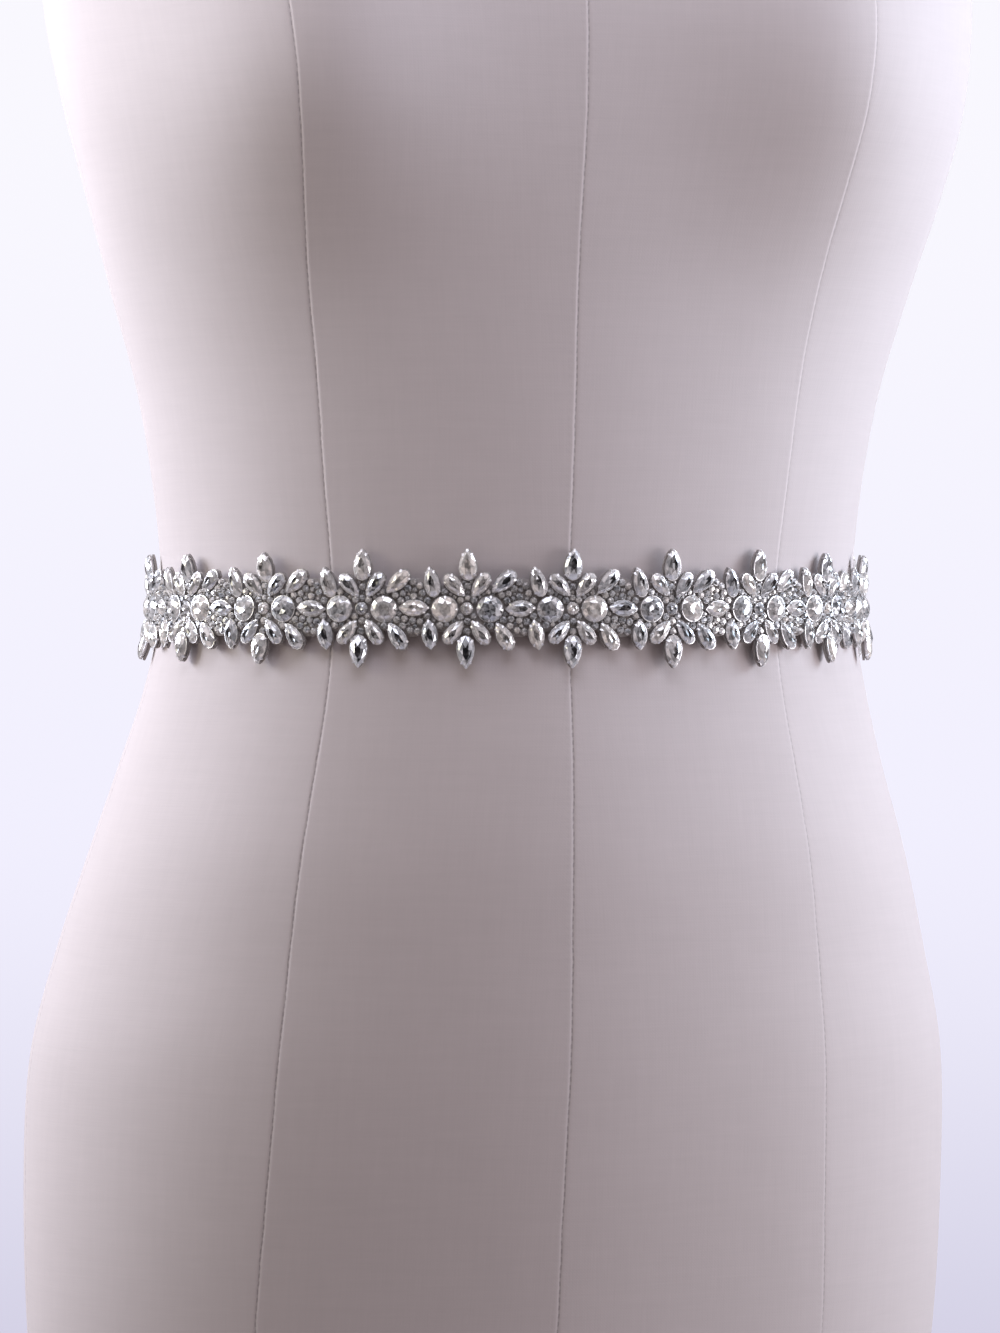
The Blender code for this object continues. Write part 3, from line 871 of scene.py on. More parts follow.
def cover_material(colour, thread_pitch):
    """Closely woven cotton over padding, with uneven threads and finely stitched, wavering seams, whose
    gaps carry painted shade and whose folds carry painted highlights.
    """
    material, bench, shader = new_material("form_cloth", {
        "Sheen Weight": 0.12, "Sheen Roughness": 0.6, "Specular IOR Level": 0.25})
    place = bench.add("ShaderNodeUVMap", {"uv_map": "cloth"}, output="UV")
    across = bench.add("ShaderNodeSeparateXYZ", {}, {"Vector": place}, output="X")
    upward = Pin(bench, across.socket.node.outputs["Y"])

    def wave(value, length):
        return bench.add("ShaderNodeMath", {"operation": "SINE"}, {0: value * (math.tau / length)})

    def line(offset, width):
        away = bench.add("ShaderNodeMath", {"operation": "ABSOLUTE"}, {0: offset})
        return bench.map(away, LINE_CORE * width, width, 1.0, 0.0)

    slub_up = bench.streaks(place, *FINE_UP, detail=3.0)
    slub_across = bench.streaks(place, *FINE_ACROSS, detail=3.0)
    broad_up = bench.streaks(place, *BROAD_UP)
    broad_across = bench.streaks(place, *BROAD_ACROSS)
    clouds = bench.noise(place, COVER_CLOUDS, detail=3.0)
    near = bench.map(bench.attribute("seam_near"), *STITCHING, 1.0, 0.0)
    waver = SHORT_SHARE * bench.streaks(place, *SHORT_WAVER)
    waver += bench.streaks(place, *LONG_WAVER, detail=1.0)
    side = bench.attribute("seam_side") + SEAM_WAVER * (waver - WAVER_MIDDLE)
    stitch = wave(upward, STITCH_LENGTH)
    hips = bench.map(upward, *HIPS, 1.0, 0.0)
    # Painted shade: the cloth is darkened along each seam's gap, where the groove lies in shade; the same
    # line also sinks the relief
    gap = line(side, GAP_WIDTH) * near * bench.attribute("seam_firm")
    gap = gap * bench.map(stitch, *STITCHED_GAP) * (GAP_STRENGTH + GAP_AT_HIPS * hips)
    # Painted highlight: a light line beside each seam, where its pressed fold catches the light
    fold = line(side - FOLD_HIGHLIGHT_PLACE, FOLD_HIGHLIGHT_WIDTH) * near * (1.0 - FOLD_HIGHLIGHT_LOST * hips)
    slubs = FINE_SHADE * slub_up + FINE_SHADE * slub_across
    slubs = slubs + BROAD_UP_SHADE * broad_up + BROAD_ACROSS_SHADE * broad_across
    shade = COVER_SHADE + CLOUD_SHADE * clouds + slubs - GAP_PAINTED_SHADE * gap
    tinted = bench.blend(shade, darker(colour, COVER_DARKEST), colour)
    painted_highlight_colour = [min(FOLD_HIGHLIGHT_GAIN * part, FOLD_HIGHLIGHT_MOST) for part in colour]
    pressed = bench.blend(FOLD_HIGHLIGHT * fold, tinted, painted_highlight_colour)
    link(bench, pressed, shader, "Base Color")
    link(bench, COVER_ROUGHNESS + COVER_ROUGHER * slub_up, shader, "Roughness")
    threads = THREADS_RAISED * wave(upward, thread_pitch) * wave(across, thread_pitch)
    weave = threads + SLUBS_RAISED * slub_up + SLUBS_RAISED * slub_across
    height = weave + STITCHES_RAISED * near * stitch - GAP_SUNK * gap
    add_relief(bench, shader, COVER_RELIEF, height)
    return material


def crystal_material(name, colour, metallic, gloss):
    """Foil backed glass: every facet throws back its own share of the light, painted into its colour as a
    painted reflection, with painted glints over it.
    """
    material, bench, shader = new_material(name, {
        "Metallic": metallic, "Coat Weight": 0.5, "Coat Roughness": 0.04, "Coat IOR": 1.6})
    # Painted reflections: each facet's share of light is read from its attribute and painted into the base
    # colour, shifted by the stone's tone and by painted glints
    facet = bench.attribute("facet")
    tone = bench.attribute("tone")
    place = bench.add("ShaderNodeTexCoord", {}, output="Object")
    inner = bench.add("ShaderNodeTexVoronoi", {}, {"Vector": place, "Scale": GLINTS}, output="Color")
    painted_glint = bench.add("ShaderNodeSeparateColor", {}, {"Color": inner}, output="Red")
    painted_light = facet + (tone - 0.5) * (1.0 - facet) * TONE_SHARE + (painted_glint - 0.5) * GLINT_SHARE
    level = bench.add("ShaderNodeClamp", {}, {"Value": painted_light})
    painted_highlight_colour = [min(part * tint, BRIGHTEST) for part, tint in zip(colour, COOL_GLASS)]
    cool = bench.blend(level, COOL_SHADOW, painted_highlight_colour)
    warm = bench.blend(level, WARM_SHADOW, WARM_GLASS)
    link(bench, bench.blend(tone, cool, warm), shader, "Base Color")
    link(bench, gloss + GLOSS_SWING * bench.noise(place, GLOSS_CLOUDS), shader, "Roughness")
    return material


def metal_material():
    """Polished silver coloured plating with faint handling marks."""
    material, bench, shader = new_material("silver_plate", {"Metallic": 0.75})
    place = bench.add("ShaderNodeTexCoord", {}, output="Object")
    marks = bench.noise(place, PLATE_MARKS, detail=3.0)
    link(bench, bench.blend(marks, PLATE_DULL, PLATE_BRIGHT), shader, "Base Color")
    link(bench, PLATE_ROUGHNESS + PLATE_ROUGHER * marks, shader, "Roughness")
    return material


def felt_material(colour):
    """Stiff felt under the stones."""
    material, bench, shader = new_material("trim_felt", {"Sheen Weight": 0.2, "Specular IOR Level": 0.2})
    place = bench.add("ShaderNodeTexCoord", {}, output="Object")
    fibres = bench.noise(place, FELT_FIBRES, detail=4.0, roughness=0.7)
    link(bench, bench.blend(fibres, darker(colour, FELT_DARKEST), colour), shader, "Base Color")
    link(bench, FELT_ROUGHNESS + FELT_ROUGHER * fibres, shader, "Roughness")
    add_relief(bench, shader, FELT_RELIEF, fibres)
    return material


def cover_heights():
    """Return the heights of the cover's rows, closer together over the shoulders."""
    low, high = SHOULDERS
    last = FORM_HEIGHT - RIM_REACH
    heights = [RIM_REACH]
    while heights[-1] < FORM_HEIGHT - 2 * RIM_REACH:
        heights.append(heights[-1] + (SHOULDER_STEP if low < heights[-1] < high else ROW_STEP))
    return [height for height in heights if height < last] + [last]


def seam_turn(seam, height):
    """Return a seam's angle at a height. The centre and side seams run straight, and the rest swing."""
    degrees = sum(swing.degrees * bump_at(height, swing.height, swing.spread) for swing in SEAM_SWINGS)
    turn = math.radians(seam.degrees)
    return turn + math.radians(degrees) * math.sin(2 * turn)


def row_columns(height, flatness):
    """Return each column's angle on one row, its distance from the nearest seam and how far it's drawn in.

    The cloth is pulled tight from seam to seam, so each panel is a little flatter than the padding.
    """
    turns, offsets, drawn = [], [], []
    starts = [seam_turn(seam, height) for seam in SEAMS]
    ends = starts[1:] + [starts[0] + math.tau]

    def across(turn, nudge=0.001):
        return (skin_point(turn + nudge, height) - skin_point(turn - nudge, height)).length / (2 * nudge)

    def wander(number):
        return SEAM_WANDER * math.sin(height * math.tau / WANDER_LENGTH + number)

    for number, (start, end) in enumerate(zip(starts, ends)):
        start += wander(number) / across(start)
        end += wander((number + 1) % len(SEAMS)) / across(end)
        first = start + SEAM_OFFSETS[-1] / across(start)
        last = end - SEAM_OFFSETS[-1] / across(end)
        wide = (end - start) * (across(start) + 2 * across((start + end) / 2) + across(end)) / 4
        before = len(turns)
        turns.append(start)
        offsets.append(0.0)
        for offset in SEAM_OFFSETS:
            turns.append(start + offset / across(start))
            offsets.append(offset)
        for step in range(1, PANEL_COLUMNS + 1):
            turns.append(first + (last - first) * step / (PANEL_COLUMNS + 1))
            offsets.append(2 * SEAM_OFFSETS[-1])
        for offset in reversed(SEAM_OFFSETS):
            turns.append(end - offset / across(end))
            offsets.append(-offset)
        for turn in turns[before:]:
            share = (turn - start) / (end - start)
            drawn.append(max(math.sin(math.pi * share), 0.0) ** 1.5 * flatness * wide)
    return turns, offsets, drawn


def cover_rows(sizes, heights):
    """Return the points of the cover's rows, and what the cloth reads at each about the nearest seam."""
    points = []
    marks = {"seam_near": [], "seam_side": [], "seam_firm": []}
    for height in heights:
        held = 1.0 - 0.5 * bump_at(height, WAIST_HEIGHT, RIBBON_PRESS)
        flatness = sizes.panel_flatness * held * (1.0 - smooth_step(height, *PANELS_ROUND))
        hips = 1.0 - smooth_step(height, *HIPS)
        turns, offsets, drawn = row_columns(height, flatness)
        for column, (turn, offset, inward) in enumerate(zip(turns, offsets, drawn)):
            panel = column // PANEL_POINTS
            seam = SEAMS[(panel + (1 if offset < 0 else 0)) % len(SEAMS)]
            kept = 1.0 - smooth_step(height, seam.top - SEAM_FADE, seam.top)
            groove = kept * seam.firm * bump_at(offset, 0.0, sizes.seam_width)
            ridge = kept * bump_at(offset * seam.pressed, 2.0 * sizes.seam_width, 1.4 * sizes.seam_width)
            uneven = 0.9 + PUCKER * math.sin(height * math.tau / PUCKER_LENGTH + panel)
            relief = (FOLD_RISE - FOLD_RISE_LOST * hips) * ridge - groove
            out = sizes.seam_depth * uneven * relief - inward
            points.append(skin_point(turn, height) + skin_normal(turn, height) * out)
            marks["seam_near"].append(abs(offset) + FAR_FROM_SEAM * (1.0 - kept))
            marks["seam_side"].append(offset * seam.pressed)
            marks["seam_firm"].append(seam.firm)
    return points, marks


def close_end(points, faces, first, rings):
    """Close the cover at the row that starts at a point: round its rim, then flat in to the middle."""
    rim = [points[first + column].copy() for column in range(ROW_POINTS)]
    middle = sum(rim, Vector()) / ROW_POINTS
    before = first
    for height, share in rings:
        start = len(points)
        for point in rim:
            flat = middle + (point - middle) * share
            points.append(Vector((flat.x, flat.y, height)))
        faces.extend(ring_faces(before, start, ROW_POINTS))
        before = start
    pole = len(points)
    points.append(Vector((middle.x, middle.y, rings[-1][0])))
    for column in range(ROW_POINTS):
        faces.append((before + column, before + (column + 1) % ROW_POINTS, pole))


def weave_place(points, rows):
    """Return the function that lays the weave out, straight up the middle of each panel."""
    grid = np.array([tuple(point) for point in points[:rows * ROW_POINTS]]).reshape(rows, ROW_POINTS, 3)
    closed = np.concatenate([grid, grid[:, :1]], axis=1)
    lengths = np.cumsum(np.linalg.norm(np.diff(closed, axis=1), axis=2), axis=1)
    lengths = np.concatenate([np.zeros((rows, 1)), lengths], axis=1)
    middles = grid[:, PANEL_POINTS // 2]
    rises = np.concatenate([[0.0], np.cumsum(np.linalg.norm(np.diff(middles, axis=0), axis=1))])

    def place(face, vertex):
        if vertex >= rows * ROW_POINTS or face >= (rows - 1) * ROW_POINTS:
            return points[vertex].x, points[vertex].y
        row, column = divmod(vertex, ROW_POINTS)
        panel = (face % ROW_POINTS) // PANEL_POINTS
        if column == 0 and face % ROW_POINTS == ROW_POINTS - 1:
            column = ROW_POINTS
        return lengths[row, column] - lengths[row, panel * PANEL_POINTS + PANEL_POINTS // 2], rises[row]

    return place


def build_cover(sizes):
    """Return the cover's mesh, with its seams pressed into it and its weave laid out panel by panel."""
    heights = cover_heights()
    rows = len(heights)
    points, marks = cover_rows(sizes, heights)
    faces = grid_faces(rows, ROW_POINTS)
    close_end(points, faces, 0, BASE_RINGS)
    close_end(points, faces, (rows - 1) * ROW_POINTS, NECK_RINGS)
    mesh = made_mesh("form_cover", points, faces, smooth=True)
    spare = len(points) - rows * ROW_POINTS
    for name, values in marks.items():
        set_attribute(mesh, name, "FLOAT", "POINT", values + [FAR_FROM_SEAM] * spare)
    set_uv(mesh, weave_place(points, rows))
    return mesh


def build_ribbon(sizes):
    """Return the waist ribbon's mesh, a thin strip with a slightly firmer selvedge."""
    section = cloth_section(12)
    along = evenly(-RIBBON_LENGTH / 2, RIBBON_LENGTH / 2, RIBBON_STEP)
    half = RIBBON_WIDTH / 2
    sections = []
    for distance in along:
        from_end = HALF_WAIST - abs(distance)
        drift = RIBBON_DRIFT * math.sin(distance * math.tau / DRIFT_LENGTH)
        gather = smooth_step(GATHER_REACH - from_end, 0.0, GATHER_REACH)
        ring = []
        for share, face in section:
            selvedge = SELVEDGE * smooth_step(abs(share), *SELVEDGE_SHARES)
            fold = RIBBON_GATHER * gather * math.sin(share * GATHER_ACROSS + distance * GATHER_ALONG)
            fold += RIBBON_RIPPLE * math.sin(distance * RIPPLE_ALONG + share * RIPPLE_ACROSS)
            out = RIBBON_INNER + RIBBON_CLEAR + fold + face * (sizes.thickness + selvedge)
            ring.append(on_form(distance, share * half + drift, out))
        sections.append(ring)
    return swept_cloth("ribbon_satin", sections, along, [share * half for share, _ in section])


def tail_row(drop):
    """Return the tail's centre line and width at a drop below the ribbon, on smooth curves."""
    drops = [row.drop for row in TAIL_ROWS]
    nearby = drop + min(0.4 * drop, TAIL_SMOOTHING) * np.linspace(-1.0, 1.0, 9)
    across = np.interp(nearby, drops, [row.across for row in TAIL_ROWS]).mean()
    width = np.interp(nearby, drops, [row.width for row in TAIL_ROWS]).mean()
    return TailRow(drop, float(across), float(width))


def build_tail(name, side, sizes):
    """Return one ribbon end's mesh: gathered under the knot, then falling flat down the back."""
    section = cloth_section(20)
    root = WAIST_HEIGHT - RIBBON_WIDTH / 2 - TAIL_ROOT_GAP + TAIL_TUCK
    length = TAIL_LENGTHS[name] + TAIL_TUCK
    along = evenly(0.0, length, TAIL_STEP)
    sections = []
    for drop in along:
        row = tail_row(max(drop - TAIL_TUCK, 0.0))
        closed = 1.0 - smooth_step(drop, *PLEATS_OPEN)
        pinch = 1.0 - TAIL_PINCH + TAIL_PINCH * smooth_step(drop, 0.0, PINCH_REACH)
        slant = TAIL_END_SLANT * smooth_step(drop, length - SLANT_REACH, length)
        sway = TAIL_SWAY * math.sin(drop * math.tau / SWAY_LENGTH + side) * smooth_step(drop, *SWAY_STARTS)
        lift = TIP_LIFT * bump_at(drop, length, TIP_REACH)
        lift += MIDDLE_LIFT * bump_at(drop, TAIL_MIDDLE * length, MIDDLE_REACH)
        ring = []
        for share, face in section:
            pleats = 0.5 + 0.5 * math.cos(share * PLEAT_ACROSS + PLEAT_SHIFT * side)
            trough = 0.5 + 0.5 * math.cos(share * TROUGH_ACROSS + drop * TROUGH_DOWN + side)
            lifted = lift * (LIFT_LEFT + LIFT_GAINED * abs(share))
            out = RIBBON_INNER + TAIL_CLEAR + lifted + TAIL_TROUGHS * trough
            out += sizes.pleat_depth * closed * pleats + face * sizes.thickness
            x = side * (row.across + sway + share * row.width / 2) * pinch
            ring.append(back_point(x, root - drop - slant * share / 2, out))
        sections.append(ring)
    half = RIBBON_WIDTH / 2
    return swept_cloth(name + "_satin", sections, along, [share * half for share, _ in section])


def knot_wrap(x, z):
    """Return how much of the turn that ties the knot lies here, and the places across and along it."""
    across, along = TURN_ACROSS * x + TURN_ALONG * z, TURN_ACROSS * z - TURN_ALONG * x
    edge = abs(across + EDGE_WAVER * math.sin(EDGE_WAVES * along + EDGE_ANGLE))
    return 1.0 - smooth_step(edge, *TURN_EDGE), across, along


def knot_rise(x, z):
    """Return how far the tied ribbon stands out, x and z being shares of half the knot's size."""
    reach = min(math.hypot(x, z), 1.0)
    dome = math.sqrt(1.0 - reach ** DOME_POWER)
    wrap, across, along = knot_wrap(x, z)
    bend = PLEAT_BEND * math.sin(TURN_BEND * along)
    pleats = abs(math.sin(TURN_PLEATS * across + bend + TURN_ANGLE)) ** PLEAT_POWER
    bend = PLEAT_BEND * math.sin(UNDER_BEND * across)
    under = abs(math.sin(UNDER_PLEATS * along + UNDER_SLANT * across + bend)) ** PLEAT_POWER
    rise = KNOT_DOME * dome + KNOT_TURN * wrap * dome ** FLAT_POWER
    folds = KNOT_PLEATS * pleats * wrap * dome ** PLEAT_POWER
    return rise + (folds + KNOT_UNDER * under * (1.0 - wrap) * dome ** FLAT_POWER)


def build_knot():
    """Return the knot's mesh: one end wrapped slantwise over the other, with small pleats."""
    half_width, half_height = KNOT_WIDTH / 2, KNOT_HEIGHT / 2
    angles = [math.tau * spoke / KNOT_SPOKES for spoke in range(KNOT_SPOKES)]
    points = []
    for ring in range(KNOT_RINGS + 1):
        share = math.sin(ring / KNOT_RINGS * math.pi / 2)
        for angle in angles:
            wrap = knot_wrap(math.cos(angle), math.sin(angle))[0]
            waver = KNOT_SHARE + TURN_GROWN * wrap + CORNER_GROWN * math.cos(KNOT_CORNERS * angle)
            x, z = share * math.cos(angle), share * math.sin(angle)
            out = KNOT_INNER + KNOT_CLEAR + knot_rise(x, z)
            points.append(back_point(half_width * x * waver, WAIST_HEIGHT + half_height * z * waver, out))
    for angle in angles:
        x, z = KNOT_BACK * math.cos(angle), KNOT_BACK * math.sin(angle)
        points.append(back_point(half_width * x, WAIST_HEIGHT + half_height * z, KNOT_INNER))
    faces = grid_faces(KNOT_RINGS + 2, KNOT_SPOKES)
    faces.append(tuple(range((KNOT_RINGS + 1) * KNOT_SPOKES, (KNOT_RINGS + 2) * KNOT_SPOKES)))
    mesh = made_mesh("knot_satin", points, faces, smooth=True, merged=KNOT_MERGED)

    def slantwise(face, vertex):
        place = mesh.vertices[vertex].co
        return (place.x * SLANT_COSINE + place.z * SLANT_SINE,
                place.x * -SLANT_SINE + place.z * SLANT_COSINE)

    set_uv(mesh, slantwise)
    return mesh


def band_edges(distance):
    """Return the felt band's lower and upper edge at a distance round the waist."""
    place = math.cos(4 * math.pi * distance / FLOWER_PITCH)
    from_end = max(abs(distance) - (TRIM_HALF - BAND_ROUNDING), 0.0) / BAND_ROUNDING
    rounded = math.sqrt(max(1.0 - from_end ** 2, BAND_BLUNT))
    below = BAND_BELOW + BAND_BELOW_SWING * place
    above = BAND_ABOVE + BAND_ABOVE_SWING * place
    return -below * rounded, above * rounded


def build_band():
    """Return the felt band's mesh, which the settings are sewn to."""
    section = cloth_section(8)
    thickness = BACKING_OUTER - BACKING_INNER - 2 * FELT_CLEAR
    along = evenly(-TRIM_HALF, TRIM_HALF, FELT_STEP)
    sections = []
    for distance in along:
        low, high = band_edges(distance)
        ring = []
        for share, face in section:
            up = (low + high) / 2 + share * (high - low) / 2
            ring.append(on_form(distance, up, BACKING_INNER + FELT_CLEAR + face * thickness))
        sections.append(ring)
    return swept_cloth("trim_band", sections, along, [share * BAND_BELOW for share, _ in section])


def outline_of(shape, corners):
    """Return a stone's outline in shares of half its width and length, its point upwards."""
    ring = []
    for corner in range(corners):
        angle = math.tau * corner / corners
        x, y = math.sin(angle), math.cos(angle)
        if shape in ("pear", "drop"):
            x *= math.sqrt(math.sin(angle / 2)) / PEAR_WIDEST
        if shape == "marquise":
            x = math.copysign(1.0 - abs(y) ** MARQUISE_FULLNESS, x) if abs(x) > 1e-6 else 0.0
        ring.append((x, y))
    return ring


def painted_facet_share(number, low, high):
    """Return a facet's share of light, painted into its colour as a painted reflection, spread evenly
    between two levels by its number.
    """
    return low + (high - low) * ((number * FACET_STEP + FACET_START) % 1.0)


def stone_mesh(shape):
    """Return one cut stone: a girdle, crown facets and a shallow fan of facets seen through the table."""
    cut = CUTS[shape]
    ring = outline_of(shape, cut.corners)
    between = outline_of(shape, 2 * cut.corners)
    half = cut.corners // 2
    wide, long = cut.width / 2, cut.length / 2

    def at(x, y, scale, rise, shift=0.0):
        return (x * wide * scale, (y * scale + shift) * long, rise)

    points = [at(x, y, *STONE_BASE) for x, y in ring]
    points += [at(x, y, *STONE_GIRDLE) for x, y in ring]
    points += [at(*ring[2 * j], *STONE_CROWN, cut.table_shift * 0.5) for j in range(half)]
    points += [at(*between[4 * j + 2], cut.table, TABLE_RISE, cut.table_shift) for j in range(half)]
    points.append((0.0, cut.table_shift * long * 1.6, TABLE_RISE - TABLE_DIP))
    faces = [tuple(reversed(range(cut.corners)))] + grid_faces(2, cut.corners)
    # Each facet's painted reflection: its share of light, painted into its colour
    levels = [BASE_LIGHT] + [GIRDLE_LIGHT] * cut.corners
    low, mid, top = cut.corners, 2 * cut.corners, 2 * cut.corners + half
    pole = top + half
    for j in range(half):
        next_j = (j + 1) % half
        left, peak, right = low + 2 * j, low + 2 * j + 1, low + (2 * j + 2) % cut.corners
        for corners, number, light in (
                ((left, peak, mid + j), 3 * j, cut.rim),
                ((peak, mid + next_j, mid + j), 3 * j + 1, cut.rim),
                ((peak, right, mid + next_j), 3 * j + 2, cut.rim),
                ((mid + j, mid + next_j, top + j), 5 * j + 2, cut.slope),
                ((mid + next_j, top + next_j, top + j), 5 * j + 4, cut.slope),
                ((top + j, top + next_j, pole), j + 0.3, cut.core)):
            faces.append(corners)
            levels.append(painted_facet_share(number, *light))
    mesh = made_mesh("cut_" + shape, points, faces, smooth=False)
    set_attribute(mesh, "facet", "FLOAT", "FACE", levels)
    return mesh


def prong(x, y):
    """Return one prong's points and faces. It rises at an outline point and bends over the stone."""
    outward = Vector((x, y, 0.0)).normalized()
    beside = Vector((-outward.y, outward.x, 0.0))
    foot = Vector((x, y, 0.0))

    # Each step of its way: how far out, as a share of its reach, how high, and its share of the width
    path = (
        (0.10, 0.3 * PRONG_RISE, 1.0),
        (0.12, PRONG_RISE, 1.0),
        (-0.35, PRONG_RISE + 0.55 * PRONG_REACH, 0.9),
        (-1.0, PRONG_RISE + 0.85 * PRONG_REACH, 0.5),
    )
    points = []
    for shift, height, width in path:
        middle = foot + outward * shift * PRONG_REACH + Vector((0.0, 0.0, height))
        lean = outward * 0.5 + Vector((0.0, 0.0, 0.5)) if shift < 0 else outward
        for side, out in ((-1, -1), (1, -1), (1, 1), (-1, 1)):
            aside = beside * side * PRONG_WIDTH / 2 * width
            points.append(middle + aside + lean * out * PRONG_WIDTH / PRONG_FLATTENED * width)
    return points, [(3, 2, 1, 0), (12, 13, 14, 15)] + grid_faces(4, 4)


def joined(parts):
    """Return the points and faces of several closed parts as one list of each."""
    points, faces = [], []
    for part_points, part_faces in parts:
        first = len(points)
        points += part_points
        faces += [tuple(first + corner for corner in face) for face in part_faces]
    return points, faces


def turned_cup(ring, wide, long, levels):
    """Return a closed cup through rings, each a scale of the outline and a rise."""
    count = len(ring)
    points = [Vector((x * wide * scale, y * long * scale, rise)) for scale, rise in levels for x, y in ring]
    ends = [tuple(reversed(range(count))), tuple(range((len(levels) - 1) * count, len(levels) * count))]
    return points, ends + grid_faces(len(levels), count)


def setting_mesh(shape):
    """Return one stone's setting: a cup that follows its outline, with prongs at its sides and point."""
    cut = CUTS[shape]
    wide, long = cut.width / 2, cut.length / 2
    parts = [turned_cup(outline_of(shape, cut.corners), wide, long, SETTING_LEVELS)]
    fine = outline_of(shape, PRONG_OUTLINE)
    for place in ROUND_PRONGS if shape == "round" else LONG_PRONGS:
        x, y = fine[int(place * PRONG_OUTLINE)]
        parts.append(prong(x * wide * PRONG_INSET, y * long * PRONG_INSET))
    if shape != "round":
        x, y = fine[0]
        parts.append(prong(x, y * long * POINT_INSET))
    return made_mesh("setting_" + shape, *joined(parts), smooth=False)


def pad_mesh(shape):
    """Return the felt that shows under one setting."""
    wide, long = CUTS[shape].width / 2 + PAD_GROWN, CUTS[shape].length / 2 + PAD_GROWN
    points, faces = turned_cup(outline_of(shape, 12), wide, long, PAD_LEVELS)
    return made_mesh("pad_" + shape, points, faces, smooth=False)


def small_stone_mesh():
    """Return a small round stone of 1 mm radius, with a flat table."""
    points, faces = turned_cup(outline_of("round", SMALL_CORNERS), MM, MM, SMALL_STONE_LEVELS)
    mesh = made_mesh("cut_small", points, faces, smooth=False)
    # Each facet's painted reflection: its share of light, painted into its colour
    levels = [painted_facet_share(index, *SMALL_LIGHT) for index in range(len(faces))]
    levels[1] = SMALL_TABLE_LIGHT
    set_attribute(mesh, "facet", "FLOAT", "FACE", levels)
    return mesh


def small_setting_mesh():
    """Return the cup of a small round stone of 1 mm radius, with four short prongs."""
    parts = [turned_cup(outline_of("round", SMALL_CORNERS), MM, MM, SMALL_CUP_LEVELS)]
    for quarter in range(4):
        angle = math.tau * (quarter + 0.5) / 4
        x, y = math.sin(angle), math.cos(angle)
        side = Vector((y, -x, 0.0)) * SMALL_PRONG_HALF
        foot, tip = Vector((x, y, 0.0)) * SMALL_PRONG_FOOT, Vector((x, y, 0.0)) * SMALL_PRONG_TIP
        low, high = Vector((0.0, 0.0, SMALL_PRONG_LOW)), Vector((0.0, 0.0, SMALL_PRONG_HIGH))
        points = [foot - side + low, foot + side + low, foot * 0.75 + low, tip + high]
        parts.append((points, [(0, 1, 2), (0, 3, 1), (1, 3, 2), (2, 3, 0)]))
    return made_mesh("setting_small", *joined(parts), smooth=False)


def drawn_in(stone):
    """Return the stone as it sits at its place along the trim, shorter and closer in near the ends."""
    if abs(stone.up) < OUTERMOST_UP:
        return stone
    share = smooth_step(abs(stone.across), ENDS_START, ENDS_FULL)
    return stone._replace(up=stone.up * (1 - ENDS_CLOSER * share),
                          length=stone.length * (1 - ENDS_SHORTER * share))


def placed_stones():
    """Return every large stone of the trim with its distance round the waist."""
    placed = []
    for centre in FLOWER_CENTRES:
        stones = FLOWER_STONES if centre == FLOWER_CENTRES[-1] else FLOWER_STONES + (SPACER_STONE,)
        placed += [drawn_in(stone._replace(across=centre + stone.across)) for stone in stones]
    return placed


def seat(distance, up, lean):
    """Return the place and the turn of something seated flat on the trim's felt."""
    middle = on_form(distance, up, BACKING_OUTER)
    around = on_form(distance + NUDGE, up, BACKING_OUTER) - on_form(distance - NUDGE, up, BACKING_OUTER)
    around.normalize()
    outward = skin_normal(turn_at(distance), WAIST_HEIGHT + up)
    upward = outward.cross(around)
    angle = math.radians(lean)
    side = around * math.cos(angle) - upward * math.sin(angle)
    along = around * math.sin(angle) + upward * math.cos(angle)
    turn = Matrix((side, along, outward)).transposed()
    return middle, turn.to_euler()


def seat_points(name, rows):
    """Make a mesh of loose points that carry each stone's kind, turn and size."""
    mesh = bpy.data.meshes.new(name)
    seats = [seat(row.distance, row.up, row.lean) for row in rows]
    mesh.from_pydata([tuple(place) for place, _ in seats], [], [])
    set_attribute(mesh, "turn", "FLOAT_VECTOR", "POINT", [part for _, turn in seats for part in turn])
    set_attribute(mesh, "size", "FLOAT_VECTOR", "POINT", [part for row in rows for part in row.size])
    set_attribute(mesh, "kind", "INT", "POINT", [row.kind for row in rows])
    return mesh


def large_seats():
    """Return the seats of the large stones."""
    rows = []
    for stone in placed_stones():
        cut = CUTS[stone.shape]
        rise = 1.0 if stone.width > NARROW_STONE else NARROW_RISE
        size = (stone.width / cut.width, stone.length / cut.length, rise)
        rows.append(SeatRow(stone.across, stone.up, stone.lean, CUT_ORDER.index(stone.shape), size))
    return rows


def clearance(places, stones):
    """Return how far each flat place lies outside the outline of the nearest stone."""
    nearest = np.full(len(places), 1.0)
    for stone in stones:
        lean = math.radians(stone.lean)
        ring = np.array(outline_of(stone.shape, SEARCH_OUTLINE)) * (stone.width / 2, stone.length / 2)
        corners = np.stack([ring[:, 0] * math.cos(lean) + ring[:, 1] * math.sin(lean) + stone.across,
                            -ring[:, 0] * math.sin(lean) + ring[:, 1] * math.cos(lean) + stone.up], axis=1)
        sides = np.roll(corners, -1, axis=0) - corners
        away = places[:, None] - corners[None]
        share = np.clip((away * sides).sum(-1) / (sides ** 2).sum(-1), 0.0, 1.0)
        distance = np.linalg.norm(away - share[..., None] * sides, axis=-1).min(axis=1)
        turned = sides[:, 0] * away[..., 1] - sides[:, 1] * away[..., 0]
        within = (turned < 0).all(axis=1) | (turned > 0).all(axis=1)
        nearest = np.minimum(nearest, np.where(within, -distance, distance))
    return nearest


